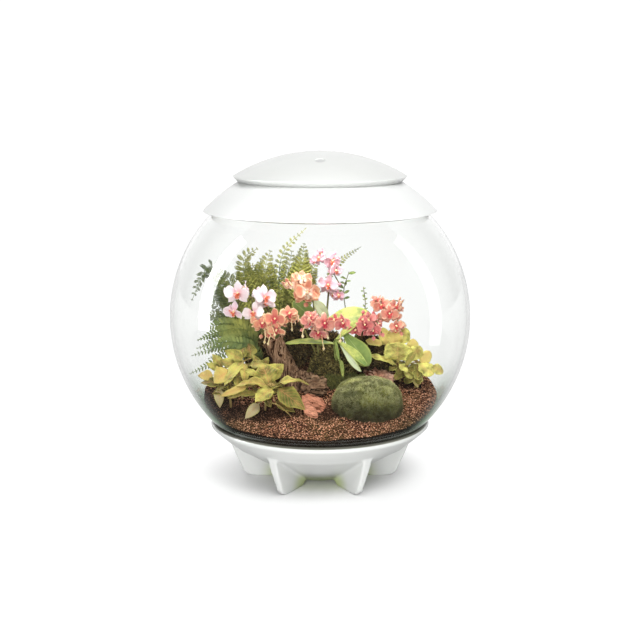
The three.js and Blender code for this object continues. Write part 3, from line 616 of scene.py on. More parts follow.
def turnedBy(tree, rotation, angles):
    turn = addNode(tree, "FunctionNodeEulerToRotation", inputs={0: angles}).outputs[0]
    return addNode(tree, "FunctionNodeRotateRotation", {"rotation_space": "LOCAL"},
                   {"Rotation": rotation, "Rotate By": turn}).outputs[0]


# copies of a piece on points, each with a tint of its own
def piecesOn(tree, points, piece, rotation, size, seed):
    form = addNode(tree, "GeometryNodeObjectInfo", inputs={"Object": piece}).outputs["Geometry"]
    copies = addNode(tree, "GeometryNodeInstanceOnPoints", inputs={
        "Points": points, "Instance": form, "Rotation": rotation, "Scale": size}).outputs[0]
    return storedNumber(tree, copies, "INSTANCE", "tint", randomNumber(tree, 0.0, 1.0, seed))


def finishTree(tree, geometry, material, result):
    real = addNode(tree, "GeometryNodeRealizeInstances", inputs={0: geometry}).outputs[0]
    painted = addNode(tree, "GeometryNodeSetMaterial", inputs={"Geometry": real, "Material": material})
    put(tree, painted.outputs[0], result["Geometry"])


# scatters a small piece over a surface, leaning and turned at random
def makeScatterTree():
    tree, given, result = newGeometryTree("scatter", [
        ("Piece", "NodeSocketObject", None), ("Density", numberKind, 1000.0),
        ("Smallest", numberKind, 0.6), ("Largest", numberKind, 1.2), ("Lean", numberKind, 0.5),
        ("Seed", "NodeSocketInt", 1), ("Material", "NodeSocketMaterial", None)])
    lean, seed = given["Lean"], given["Seed"]
    points = addNode(tree, "GeometryNodeDistributePointsOnFaces", inputs={
        "Mesh": given["Geometry"], "Density": given["Density"], "Seed": seed}).outputs
    back = times(tree, lean, -1.0)
    low = vectorOf(tree, back, back, -math.pi)
    high = vectorOf(tree, lean, lean, math.pi)
    rotation = turnedBy(tree, points["Rotation"], randomVector(tree, low, high, seed))
    size = randomNumber(tree, given["Smallest"], given["Largest"], seed)
    copies = piecesOn(tree, points["Points"], given["Piece"], rotation, size, seed)
    finishTree(tree, copies, given["Material"], result)
    return tree


# leaflets are longest below the middle of the rib, and short at its tip
leafletLengths = {
    "first": (0.0, 0.52), "last": (1.0, 0.14), "between": [(0.22, 0.94), (0.42, 1.0), (0.75, 0.66)],
}


def leafletLength(tree, share):
    profile = addNode(tree, "ShaderNodeFloatCurve", inputs={"Value": share})
    line = profile.mapping.curves[0]
    line.points[0].location = leafletLengths["first"]
    line.points[1].location = leafletLengths["last"]
    for place in leafletLengths["between"]:
        line.points.new(*place)
    profile.mapping.update()
    return profile.outputs[0]


# points along a curve, and how far along it each of them is
def markedPoints(tree, curve, first, count):
    trimmed = addNode(tree, "GeometryNodeTrimCurve", {"mode": "FACTOR"}, {"Curve": curve})
    put(tree, first, trimmed.inputs[2])
    put(tree, 0.99, trimmed.inputs[3])
    spot = addNode(tree, "GeometryNodeSplineParameter").outputs["Factor"]
    marked = storedNumber(tree, trimmed.outputs[0], "POINT", "spot", spot)
    points = addNode(tree, "GeometryNodeCurveToPoints", {"mode": "COUNT"},
                     {"Curve": marked, "Count": count})
    share = addNode(tree, "GeometryNodeInputNamedAttribute", {"data_type": "FLOAT"}, {"Name": "spot"})
    return points.outputs, share.outputs[0]


def taperedStalk(tree, curve, radius):
    along = addNode(tree, "GeometryNodeSplineParameter").outputs["Factor"]
    taper = ranged(tree, along, 0.0, 1.0, 1.0, 0.4)
    ring = addNode(tree, "GeometryNodeCurvePrimitiveCircle", inputs={"Resolution": 5}).outputs[0]
    stalk = addNode(tree, "GeometryNodeCurveToMesh", inputs={
        "Curve": curve, "Profile Curve": ring, "Scale": times(tree, taper, radius), "Fill Caps": True})
    return stalk.outputs[0]


# sets leaflets in pairs along a rib, which becomes a tapered stalk
def makeRibTree():
    tree, given, result = newGeometryTree("leafletsAlongRib", [
        ("Leaflet", "NodeSocketObject", None), ("Pairs", "NodeSocketInt", 10), ("Bare", numberKind, 0.2),
        ("Size", numberKind, 1.0), ("Spread", numberKind, 1.1), ("Droop", numberKind, 0.2),
        ("Face", vectorKind, (0, 0, 1)), ("Rib Radius", numberKind, 0.0006), ("Seed", "NodeSocketInt", 1),
        ("Material", "NodeSocketMaterial", None)])
    curve = addNode(tree, "GeometryNodeMeshToCurve", inputs={0: given["Geometry"]}).outputs[0]
    points, share = markedPoints(tree, curve, given["Bare"], given["Pairs"])
    wobble = randomNumber(tree, 0.86, 1.1, given["Seed"])
    size = times(tree, times(tree, leafletLength(tree, share), given["Size"]), wobble)
    base = addNode(tree, "FunctionNodeAxesToRotation", {"primary_axis": "X", "secondary_axis": "Z"},
                   {"Primary Axis": points["Tangent"], "Secondary Axis": given["Face"]}).outputs[0]
    sides = addNode(tree, "GeometryNodeJoinGeometry")
    for hand in (1, -1):
        sway = mathValue(tree, "ADD", given["Spread"], randomNumber(tree, -0.13, 0.13, 3 + hand))
        droop = mathValue(tree, "ADD", given["Droop"], randomNumber(tree, -0.2, 0.2, 7 + hand))
        spread = turnedBy(tree, base, vectorOf(tree, z=times(tree, sway, hand)))
        hung = turnedBy(tree, spread, vectorOf(tree, y=droop))
        leaflets = piecesOn(tree, points["Points"], given["Leaflet"], hung, size, 11 + hand)
        tree.links.new(leaflets, sides.inputs[0])
    tree.links.new(taperedStalk(tree, curve, given["Rib Radius"]), sides.inputs[0])
    smooth = addNode(tree, "GeometryNodeSetShadeSmooth", inputs={0: sides.outputs[0]}).outputs[0]
    finishTree(tree, smooth, given["Material"], result)
    return tree


scatterTree = makeScatterTree()
ribTree = makeRibTree()


# a small piece that the trees repeat; it is taken away once the pieces are made
def helperPiece(name, points, faces, smooth=True):
    mesh = bpy.data.meshes.new(name)
    mesh.from_pydata(inMetres(points), [], faces)
    mesh.polygons.foreach_set("use_smooth", [smooth] * len(mesh.polygons))
    piece = newObject(name, mesh)
    helpers.append(piece)
    return piece


def linePiece(name, points):
    mesh = bpy.data.meshes.new(name)
    mesh.from_pydata([tuple(point) for point in points], [(i, i + 1) for i in range(len(points) - 1)], [])
    return newObject(name, mesh)


# a second object with a mesh of its own, for a tree to work on
def copyOf(piece, name):
    return newObject(name, piece.data.copy())


helpers = []
print("studio tools ready")


def turnedPiece(name, corners, material, sides=160):
    shape = newShape()
    ring = [*corners, corners[0]]
    rows = []
    for k in range(sides + 1):
        turn = 2 * math.pi * k / sides
        rows.append([(r * math.cos(turn), r * math.sin(turn), z) for r, z in ring])
    addGrid(shape, rows)
    piece = finishShape(shape, name, [material])
    cleanMesh(piece.data, dissolve=nearness, outwards=True)
    return piece


# points on a sphere about the globe's centre, between two distances from the axis
def spherePoints(radius, first, last, steps, below=False):
    a0 = math.asin(min(1, first / radius))
    a1 = math.asin(min(1, last / radius))
    side = -1 if below else 1
    angles = [a0 + (a1 - a0) * i / steps for i in range(steps + 1)]
    return [(radius * math.sin(a), globe["height"] + side * radius * math.cos(a)) for a in angles]


# a profile whose corners given a radius are rounded: [distance from the axis, height, radius]
def roundedProfile(corners):
    steps = 6
    points = []
    count = len(corners)
    for i, (r, z, *rest) in enumerate(corners):
        if not rest:
            points.append((r, z))
            continue
        here = Vector((r, z))
        before = Vector(corners[i - 1][:2]) - here
        after = Vector(corners[(i + 1) % count][:2]) - here
        half = before.angle(after) / 2
        reach = min(rest[0] / math.tan(half), before.length * 0.48, after.length * 0.48)
        start = here + before.normalized() * reach
        end = here + after.normalized() * reach
        for k in range(steps + 1):
            t = k / steps
            point = start * (1 - t) ** 2 + here * 2 * t * (1 - t) + end * t ** 2
            points.append((point.x, point.y))
    return points


whiteFinish = {
    "colour": (208, 209, 207), "shade": (203, 205, 202), "roughness": 0.34,
    # painted shade: the greenish colour low under the stand
    "under": (178, 188, 140), "underShadeHeight": (0.006, 0.03), "underShadeReach": (0.055, 0.085),
    # painted shade for the cup's inside and inner lip, where the globe sits
    "seatShade": (104, 102, 93), "seatShadeHeight": (0.12, 0.16), "seatReach": (0.2026, 0.2038),
}


# clean glossy moulding, a little uneven in gloss; low under the stand, near its axis, a greenish painted
# shade stands for the green-tinted shadow there
def makeWhite(name, values):
    material, tree, shader = newMaterial(name)
    place = objectPlace(tree)
    height = partsOf(tree, place)["Z"]
    soft = mottled(tree, place, 9.0, 0.3, values["colour"], values["shade"])
    # painted shade: greenish and darker low under the stand, near its axis
    low = times(tree, ranged(tree, height, *values["underShadeHeight"], 1, 0),
                ranged(tree, lengthOf(tree, place), *values["underShadeReach"], 1, 0))
    colour = mixed(tree, low, soft["Colour"], values["under"])
    # painted shade where the globe sits on the stand: the cup's inside and its inner lip are darkened, where
    # the globe and the soil keep the light off them
    fromCentre = lengthOf(tree, vectorMath(tree, "SUBTRACT", place, globeCentre)[0])
    seatShade = times(tree, ranged(tree, fromCentre, *values["seatReach"], 1, 0),
                 ranged(tree, height, *values["seatShadeHeight"], 1, 0))
    setColour(tree, shader, mixed(tree, seatShade, colour, values["seatShade"]))
    gloss = mottled(tree, place, 30.0, 0.25)
    rough = ranged(tree, gloss["Mask"], 0, 1, values["roughness"] - 0.04, values["roughness"] + 0.05)
    put(tree, rough, shader.inputs["Roughness"])
    ripple = addNode(tree, "ShaderNodeTexNoise", inputs={"Vector": place, "Scale": 420.0, "Detail": 2.0})
    setBump(tree, shader, ripple.outputs[0], 0.02, 0.0002)
    put(tree, 0.3, shader.inputs["Coat Weight"])
    put(tree, 0.15, shader.inputs["Coat Roughness"])
    return material


whitePlastic = makeWhite("whitePlastic", whiteFinish)
# painted light: the collar takes a lighter copy of the same white plastic, so that its shaded sides stay
# near white
collarPlastic = makeWhite("collarPlastic", {**whiteFinish, "colour": (223, 224, 223),
                                            "shade": (219, 221, 219)})
buttonPlastic = makeWhite("buttonPlastic", {**whiteFinish, "colour": (190, 191, 190),
                                            "shade": (186, 187, 186), "roughness": 0.45})

stand = {
    "outer": 206.5 * mm, "rimReach": 147.6 * mm, "rimInner": 145 * mm,
    "underside": [(48, 8), (84, 31.5), (113, 49.5), (121, 54)], "outerFrom": 124.5 * mm,
    "finCount": 6, "finFirst": -60, "finAtGround": 4.0, "finAtTop": 6.2, "taperHeight": 50,
    "finEdge": [(50, 0), (91, 0), (113.5, 26), (124, 53), (125.5, 60), (84, 36), (44, 13), (44, 6)],
    "toe": (91, 17, 17, -90, -12), "voxel": 1.8 * mm, "rounding": 5,
}


# the cup: its inside follows the globe, and its underside runs out to a soft crease
def standCup():
    inner = spherePoints(globe["radius"] + globe["fit"], stand["rimInner"], 0, 24, below=True)
    under = [(0, 8 * mm), *[(r * mm, z * mm) for r, z in stand["underside"]]]
    outer = spherePoints(stand["outer"], stand["outerFrom"], stand["rimReach"], 8, below=True)
    return turnedPiece("standCup", [*inner, *under, *outer], whitePlastic)


# one fin, thinner towards the ground, with a round toe
def standFin(heading):
    r, z, radius, first, last = stand["toe"]
    arc = [math.radians(first + (last - first) * i / 8) for i in range(9)]
    toe = [(r + radius * math.cos(a), z + radius * math.sin(a)) for a in arc]
    edge = stand["finEdge"]
    outline = [edge[0], *toe, *edge[2:]]
    turn = Matrix.Rotation(math.radians(heading), 3, "Z")
    points = []
    for hand in (1, -1):
        for along, height in outline:
            share = min(1, height / stand["taperHeight"])
            half = stand["finAtGround"] + (stand["finAtTop"] - stand["finAtGround"]) * share
            points.append(turn @ Vector((along, hand * half, height)) * mm)
    count = len(outline)
    faces = [tuple(range(count)), tuple(range(2 * count - 1, count - 1, -1))]
    faces += [(i, i + count, (i + 1) % count + count, (i + 1) % count) for i in range(count)]
    mesh = bpy.data.meshes.new("standFin")
    mesh.from_pydata(points, [], faces)
    cleanMesh(mesh, outwards=True)
    return newObject("standFin", mesh)


# cup and fins become one moulding with small fillets where they meet
def makeStand():
    fins = [standFin(stand["finFirst"] + 360 * i / stand["finCount"]) for i in range(stand["finCount"])]
    piece = joinPieces("standMoulding", [standCup(), *fins])
    skin = piece.modifiers.new("oneSkin", "REMESH")
    skin.mode = "VOXEL"
    skin.voxel_size = stand["voxel"]
    skin.use_smooth_shade = True
    soft = piece.modifiers.new("soft", "SMOOTH")
    soft.factor = 0.5
    soft.iterations = stand["rounding"]
    baked(piece)
    for vertex in piece.data.vertices:
        vertex.co.z = max(vertex.co.z, 0)
    piece.data.materials.clear()
    piece.data.materials.append(whitePlastic)
    piece = joinPieces("standMoulding", [piece, standCup()])
    nodes = [name for name in frame["nodes"] if name.startswith("stand")]
    finishPiece(piece, "white_plastic", *nodes)


glassFinish = {
    "colour": (254, 255, 254), "index": 1.42, "shadow": (247, 251, 248),
    "edge": (228, 233, 230), "facing": 0.3, "edgeRim": (0.55, 0.98),
    # low: a painted reflection of the soil's green, low down where the glass is seen edge on
    "low": (66, 112, 58), "soilReflectionHeight": (0.1, 0.165), "soilReflectionRim": (0.22, 0.62),
}


# clear glass that lets the lamps' rays through; the colour gathers where it is seen edge on, and low down,
# where it stands against the soil, a strong green is painted in as a painted reflection of the soil
def makeGlass():
    values = glassFinish
    material, tree, shader = newMaterial("clearGlass", roughness=0.0)
    height = partsOf(tree, objectPlace(tree))["Z"]
    rim = addNode(tree, "ShaderNodeLayerWeight", inputs={"Blend": values["facing"]}).outputs["Facing"]
    # painted reflection: the soil's green, low down where the glass is seen edge on
    low = times(tree, ranged(tree, height, *values["soilReflectionHeight"], 1, 0),
                ranged(tree, rim, *values["soilReflectionRim"]))
    base = mixed(tree, ranged(tree, rim, *values["edgeRim"]), values["colour"], values["edge"])
    setColour(tree, shader, mixed(tree, low, base, values["low"]))
    put(tree, 1.0, shader.inputs["Transmission Weight"])
    put(tree, values["index"], shader.inputs["IOR"])
    clear = addNode(tree, "ShaderNodeBsdfTransparent", inputs={0: values["shadow"]})
    ray = addNode(tree, "ShaderNodeLightPath").outputs["Is Shadow Ray"]
    mixSurface(tree, ray, shader.outputs[0], clear.outputs[0])
    return material


def makeGlobe():
    swing = math.pi - math.asin(globe["mouth"] / globe["radius"])
    angles = [swing * i / globe["steps"] for i in range(globe["steps"] + 1)]
    radius, inside = globe["radius"], globe["radius"] - globe["wall"]
    outer = [(radius * math.sin(a), globe["height"] - radius * math.cos(a)) for a in angles]
    inner = [(inside * math.sin(a), globe["height"] - inside * math.cos(a)) for a in reversed(angles)]
    piece = turnedPiece("globeGlass", [*outer, *inner], makeGlass(), globe["sides"])
    finishPiece(piece, "clear_glass", "globe")


cover = {
    "collar": 210 * mm, "collarReach": 153.7 * mm, "collarBore": 86 * mm,
    "hook": 89.6 * mm, "hookLow": 166 * mm, "collarSeat": 200.4 * mm, "seatReach": 143.2 * mm,
    "lid": 220 * mm, "lidReach": 114.3 * mm, "lidWall": 6 * mm, "tipBack": 0.9 * mm, "edge": 0.7 * mm,
    "shadow": 211.2 * mm, "shadowReach": (108.3 * mm, 102 * mm), "lidSeat": 210.75 * mm,
    "seatFrom": 101 * mm, "spigot": 85.55 * mm, "spigotWall": 4 * mm, "spigotLow": 171 * mm,
}
# the button lies in a shallow recess: floor and top are its distances under the lid's dome
button = {
    "reach": 60 * mm, "radius": 6 * mm, "floor": 1.9 * mm, "top": 0.55 * mm, "shoulder": 0.9 * mm,
    "crown": 0.65 * mm, "round": 0.5 * mm, "recess": 2.2 * mm, "gap": (0.4 * mm, 0.9 * mm), "above": 4 * mm,
    "sides": 64,
}


def heightOn(radius, reach):
    return globe["height"] + math.sqrt(radius ** 2 - reach ** 2)


def makeCollar():
    reach = cover["collarReach"]
    outer = spherePoints(cover["collar"], cover["collarBore"], reach - cover["tipBack"], 30)
    tip = (reach, heightOn(cover["collar"], reach) - 0.3 * mm, cover["edge"])
    under = spherePoints(cover["collarSeat"], cover["seatReach"], cover["hook"], 20)
    low = globe["height"] + cover["hookLow"]
    hook = [(cover["hook"], low, cover["edge"]), (cover["collarBore"], low, cover["edge"])]
    profile = roundedProfile([*outer, tip, *under, *hook])
    finishPiece(turnedPiece("collarRing", profile, collarPlastic), "white_plastic", "collar")


# a dome on the collar: its edge hangs over a shadow gap, and a ring under it stands in the mouth
def makeLid():
    reach, spigot = cover["lidReach"], cover["spigot"]
    outer = spherePoints(cover["lid"], 0, reach - cover["tipBack"], 36)
    tip = (reach, heightOn(cover["lid"], reach) - 0.4 * mm, cover["edge"])
    edge = [(r, heightOn(cover["shadow"], r)) for r in cover["shadowReach"]]
    foot = [(r, heightOn(cover["lidSeat"], r)) for r in (cover["seatFrom"], spigot)]
    inner = spigot - cover["spigotWall"]
    low = globe["height"] + cover["spigotLow"]
    ring = [(spigot, low, cover["edge"]), (inner, low, cover["edge"])]
    under = spherePoints(cover["lid"] - cover["lidWall"], inner, 0, 16)
    profile = roundedProfile([*outer, tip, *edge, *foot, *ring, *under])
    lid = turnedPiece("lidDome", profile, whitePlastic)
    lean = Matrix.Rotation(math.asin(button["reach"] / cover["lid"]), 4, "X")
    lean = Matrix.Translation(globeCentre) @ lean
    cutRecess(lid, lean)
    finishPiece(lid, "white_plastic", "lid")
    makeButton(lean)


def cutRecess(lid, lean):
    floor, above = cover["lid"] - button["recess"], cover["lid"] + button["above"]
    wall = [(button["radius"] + button["gap"][0], floor), (button["radius"] + button["gap"][1], above)]
    recess = turnedPiece("recess", [(0, floor), *wall, (0, above)], whitePlastic, button["sides"])
    recess.data.transform(lean)
    cut = lid.modifiers.new("recess", "BOOLEAN")
    cut.object = recess
    cut.solver = "EXACT"
    baked(lid)
    bpy.data.objects.remove(recess)


def makeButton(lean):
    top, r = cover["lid"], button["radius"]
    side = [(r, top - button["floor"]), (r, top - button["shoulder"], button["round"])]
    crown = [(r * 0.6, top - button["crown"]), (0, top - button["top"])]
    disc = roundedProfile([(0, top - button["floor"]), *side, *crown])
    piece = turnedPiece("lidButton", disc, buttonPlastic, button["sides"])
    piece.data.transform(lean)
    finishPiece(piece, "button_plastic", "lid_button")


ground = {
    "level": 109.5, "slope": 0.1, "edgeHeight": 2, "edgeReach": 165, "ripple": 1.2,
    "mounds": [(20, 52, 30, 60), (-14, 52, 34, 26)],
    "rings": 96, "sides": 200, "wallRows": 24, "roughness": 3.0, "gap": 0.3 * mm,
}


# height of the soil's surface at a place given in millimetres
def soilHeight(x, y):
    rise = sum(height * math.exp(-((x - mx) ** 2 + (y - my) ** 2) / (2 * spread ** 2))
               for mx, my, height, spread in ground["mounds"])
    edge = ground["edgeHeight"] * (x * x + y * y) / ground["edgeReach"] ** 2
    ripple = ground["ripple"] * math.sin(x * 0.09 + 1) * math.cos(y * 0.11)
    return ground["level"] + ground["slope"] * y + edge + rise + ripple


def roughGround(x, y):
    place = Vector((x, y, 0))
    return rumple(place, 0.11) * ground["roughness"] + noise.noise(place * 0.9) * 0.5


# the centre and the half sizes of each patch of soil darkened with painted shade, under the foliage, beside
# the moss ball and in the hollow behind the stems
soilFinish = {
    "light": (206, 142, 108), "dark": (104, 66, 47), "deep": (38, 25, 18),
    # wall: the soil's side behind the glass, painted nearly black as painted shade
    "green": (92, 88, 46), "greenShare": 0.16, "wall": (30, 17, 8), "wallShadeShare": 0.97,
    "paintedShade": [((0.0, 0.05, 0.14), (0.085, 0.062, 0.06)), ((-0.08, -0.06, 0.1), (0.062, 0.03, 0.04)),
             ((0.01, -0.07, 0.1), (0.022, 0.02, 0.04)), ((0.11, 0.03, 0.11), (0.03, 0.02, 0.03)),
             ((-0.15, -0.03, 0.1), (0.04, 0.07, 0.04))],
}


# how far a place lies in a patch of painted shade, from 1 inside to 0 outside
def paintedShadeShare(tree, place):
    nearest = 9.0
    for centre, half in soilFinish["paintedShade"]:
        away = vectorMath(tree, "SUBTRACT", place, centre)[0]
        away = lengthOf(tree, vectorMath(tree, "DIVIDE", away, half)[0])
        nearest = mathValue(tree, "MINIMUM", away, nearest)
    ragged = addNode(tree, "ShaderNodeTexNoise", inputs={"Vector": place, "Scale": 60.0, "Detail": 3.0})
    return ranged(tree, mathValue(tree, "ADD", nearest, ragged.outputs[0]), 1.15, 1.75, 1, 0)


# loose crumbs: each grain its own brown, with painted shade dark in the hollows between them, and a green
# film in places
def makeSoilFinish(name, values, wall=False):
    material, tree, shader = newMaterial(name, 0.92, 0.04)
    place = objectPlace(tree)
    fine = grained(tree, place, 430.0)
    coarse = mottled(tree, place, 46.0, 0.16, values["dark"], values["light"])
    crumb = mixed(tree, ranged(tree, fine["Value"], 0.1, 0.9), values["dark"], coarse["Colour"])
    # painted shade: the deep colour in the hollows between the grains
    colour = mixed(tree, ranged(tree, fine["Height"], 0.15, 0.6, 1, 0), crumb, values["deep"])
    patches = mottled(tree, place, 17.0, 0.09)
    film = times(tree, ranged(tree, patches["Mask"], 0.6, 1.0), values["greenShare"])
    colour = mixed(tree, film, colour, values["green"])
    # painted shade: the patches under the plants and in the hollow
    colour = mixed(tree, times(tree, paintedShadeShare(tree, place), 0.85), colour, values["deep"])
    # painted shade: the soil's side behind the glass is painted nearly black
    if wall:
        colour = mixed(tree, values["wallShadeShare"], colour, values["wall"])
    setColour(tree, shader, colour)
    setBump(tree, shader, fine["Height"], 0.8, 0.0016)
    return material


def makeCrumbFinish(name, dark, middle, light):
    material, tree, shader = newMaterial(name, 0.9, 0.08)
    place = objectPlace(tree)
    colour = ramped(tree, tintOf(tree), dark, middle, light, 0.55)
    # painted shade: the crumbs darken in the same patches as the soil
    paintedShade = times(tree, paintedShadeShare(tree, place), 0.8)
    setColour(tree, shader, mixed(tree, paintedShade, colour, soilFinish["deep"]))
    setBump(tree, shader, grained(tree, place, 1500.0)["Height"], 0.5, 0.0005)
    return material


# distance from the axis at which the soil's surface meets a sphere about the globe's centre
def edgeReach(turn, radius):
    reach = 0.16
    for _ in range(6):
        height = soilHeight(reach * math.cos(turn) / mm, reach * math.sin(turn) / mm) * mm
        reach = math.sqrt(radius ** 2 - (globe["height"] - height) ** 2)
    return reach


def soilTurns():
    return [2 * math.pi * k / ground["sides"] for k in range(ground["sides"] + 1)]


# the rough top, which runs out to the glass
def soilTop(reach):
    shape = newShape()
    rows = []
    for turn in soilTurns():
        edge = edgeReach(turn, reach)
        row = []
        for i in range(ground["rings"] + 1):
            share = (i / ground["rings"]) ** 0.8
            x, y = edge * share * math.cos(turn) / mm, edge * share * math.sin(turn) / mm
            rough = roughGround(x, y) * (1 - share ** 14)
            row.append((x * mm, y * mm, (soilHeight(x, y) + rough) * mm))
        rows.append(row)
    addGrid(shape, rows, flip=True)
    return finishShape(shape, "soilTop", [makeSoilFinish("soil", soilFinish)])


# the smooth wall, which lies against the glass
def soilWall(reach):
    shape = newShape()
    rows = []
    for turn in soilTurns():
        widest = math.asin(min(1, edgeReach(turn, reach) / reach))
        angles = [widest * (1 - i / ground["wallRows"]) for i in range(ground["wallRows"] + 1)]
        rows.append([(reach * math.sin(a) * math.cos(turn), reach * math.sin(a) * math.sin(turn),
                      globe["height"] - reach * math.cos(a)) for a in angles])
    addGrid(shape, rows, flip=True)
    return finishShape(shape, "soilWall", [makeSoilFinish("soilWall", soilFinish, wall=True)])


def makeSoil():
    reach = globe["radius"] - globe["wall"] - globe["fit"] - ground["gap"]
    top, side = soilTop(reach), soilWall(reach)
    loose = [scatterCrumbs(top, name, values) for name, values in crumbs.items()]
    body = joinPieces("soilBody", [top, side])
    cleanMesh(body.data, merge=0.01 * mm, outwards=True)
    finishPiece(body, "soil", "soil")
    for piece in loose:
        keepInside(piece, 0.6 * mm)
        finishPiece(piece, "soil")


# a crumb is a lopsided double pyramid, and a fibre is a bent splinter
crumbForm = [(0, 0, -1.1), (1.5, 0.2, 0), (0.3, 1.2, 0.2), (-1.2, 0.5, -0.1), (-0.6, -1.1, 0.1),
             (0.8, -1.0, -0.2), (0.1, 0.1, 1.0)]
crumbFaces = [(0, (k + 1) % 5 + 1, k + 1) for k in range(5)]
crumbFaces += [(6, k + 1, (k + 1) % 5 + 1) for k in range(5)]
fibreForm = [(0, -0.35, 0), (0, 0.35, 0), (0, 0, 0.5), (3.2, -0.3, 1.1), (3.2, 0.35, 1.1), (3.2, 0, 1.5),
             (6.6, 0, 0.9)]
fibreFaces = [(0, 1, 2), (0, 3, 4, 1), (1, 4, 5, 2), (2, 5, 3, 0), (3, 6, 4), (4, 6, 5), (5, 6, 3)]
crumbs = {
    "soilCrumbs": {
        "form": (crumbForm, crumbFaces, False), "density": 190000, "size": (0.3, 0.85), "seed": 5,
        "finish": "crumbs", "dark": (58, 36, 24), "middle": (168, 110, 82), "light": (246, 184, 150)},
    "soilFibres": {
        "form": (fibreForm, fibreFaces, True), "density": 7000, "size": (0.4, 1.0), "seed": 9,
        "finish": "fibres", "dark": (78, 50, 34), "middle": (164, 108, 78), "light": (206, 168, 120)},
}


# a copy of a surface that carries small pieces in place of its own faces
def scattered(surface, name, form, density, size, lean, seed, finish):
    share = 1.0
    return runTree(copyOf(surface, name), scatterTree, {
        "Piece": form, "Density": density * share, "Smallest": size[0], "Largest": size[1],
        "Lean": lean, "Seed": seed, "Material": finish})


def scatterCrumbs(top, name, values):
    form = helperPiece(name + "Form", *values["form"])
    finish = makeCrumbFinish(values["finish"], values["dark"], values["middle"], values["light"])
    return scattered(top, name, form, values["density"], values["size"], 0.7, values["seed"], finish)


# a rounded lump: relief is a share of its size over the unit sphere, rough is added along the surface
def lumpPiece(name, at, half, material, relief, rough, rings=64, sides=96, square=1.0):
    shape = newShape()
    rows = []
    for i in range(rings + 1):
        rise = math.pi * i / rings
        away, high = math.sin(rise) ** square, abs(math.cos(rise)) ** square
        z = math.copysign(high, -math.cos(rise))
        row = []
        for k in range(sides):
            turn = 2 * math.pi * k / sides
            x, y = away * math.cos(turn), away * math.sin(turn)
            point = Vector((x * half[0], y * half[1], z * half[2])) * (1 + relief(x, y, z))
            point += Vector((x, y, z)) * rough(point + Vector(at))
            row.append((point + Vector(at)) * mm)
        rows.append(row)
    addGrid(shape, rows, wrap=True, flip=True)
    return finishShape(shape, name, [material])


# low: the colour towards the ground, partly the moss's own brown base, partly painted shade
mossBall = {
    "at": (63, -52, 113.5), "half": (44, 43, 33.5), "square": 0.76, "slot": "moss", "node": "moss_ball",
    "tufts": 1400000, "size": (0.8, 2.0), "seed": 3, "scale": 26.0, "patches": 0.62, "fade": (0.104, 0.15),
    "dark": (66, 66, 22), "middle": (206, 204, 92), "light": (255, 250, 186), "low": (50, 35, 18),
}
mossMound = {
    "at": (16, 24, 138), "half": (30, 30, 40), "slot": "dark_moss", "node": "moss_mound",
    "tufts": 420000, "size": (0.8, 2.6), "seed": 4, "scale": 60.0, "tips": (0.66, 0.92), "tipShare": 1.0,
    "fade": (0.11, 0.15),
    "dark": (24, 17, 10), "middle": (56, 44, 24), "light": (186, 166, 100), "low": (36, 25, 17),
}
# dark growth that fills the ground between the stems, its colours partly painted shade for the shadowed
# hollow there, and green moss cushions in front of it; a lump is its centre and its three half sizes
undergrowth = {
    "thicket": {
        "lumps": [(-10, 50, 148, 46, 22, 32), (-34, 40, 146, 22, 20, 30), (-72, 40, 135, 30, 20, 25),
                  (76, 42, 132, 34, 18, 28), (34, 30, 148, 18, 14, 26), (4, 46, 164, 24, 18, 30),
                  (-32, 46, 178, 13, 12, 28), (-80, 44, 152, 20, 16, 34), (88, 40, 158, 14, 12, 25),
                  (-20, 40, 170, 13, 12, 26), (64, 34, 160, 17, 12, 31)],
        "tufts": 240000, "size": (1.2, 3.6), "seed": 6, "scale": 40.0, "tips": (0.76, 0.96), "tipShare": 1.0,
        "fade": (0.11, 0.15),
        "dark": (34, 22, 15), "middle": (50, 36, 22), "light": (170, 144, 94), "low": (34, 23, 15)},
    "cushions": {
        "lumps": [(15, -3, 127, 16, 12, 16), (48, -9, 130, 15, 10, 15), (30, 4, 134, 12, 10, 15)],
        "tufts": 1100000, "size": (0.6, 1.6), "seed": 6, "scale": 50.0, "fade": (0.108, 0.135),
        "dark": (52, 52, 24), "middle": (92, 92, 46), "light": (166, 160, 92), "low": (44, 32, 18)},
}


# tips: from which tint on the tufts are light
def makeMossFinish(name, values):
    material, tree, shader = newMaterial(name, 0.95, 0.06)
    place = objectPlace(tree)
    scale = values["scale"]
    broad = mottled(tree, place, scale, 0.14, values["dark"], values["middle"])
    fine = mottled(tree, place, scale * 9, 0.12)
    colour = mixed(tree, times(tree, fine["Mask"], 0.4), broad["Colour"], values["light"])
    tips = ranged(tree, tintOf(tree), *values.get("tips", (0.3, 1.0)))
    colour = mixed(tree, times(tree, tips, values.get("tipShare", 0.7)), colour, values["light"])
    patches = mottled(tree, place, scale * 3.2, 0.1)
    patched = times(tree, patches["Mask"], values.get("patches", 0.5))
    colour = mixed(tree, patched, colour, values["dark"])
    # darker towards the ground: partly the brown damp base that moss has, partly painted shade on its
    # underside
    low = ranged(tree, partsOf(tree, place)["Z"], *values["fade"], 0.85, 0.0)
    setColour(tree, shader, mixed(tree, low, colour, values["low"]))
    setBump(tree, shader, grained(tree, place, 900.0)["Height"], 0.6, 0.001)
    put(tree, 0.08, shader.inputs["Sheen Weight"])
    return material


tuftForm = [(-0.34, 0, -0.4), (0.34, 0, -0.4), (0.1, 0.25, 2.1), (0, -0.34, -0.4), (0.1, 0.34, -0.4),
            (-0.5, 0.1, 1.7), (0.5, -0.5, 1.5)]
tuftFaces = [(0, 1, 2), (3, 4, 5), (1, 3, 6), (4, 0, 6)]


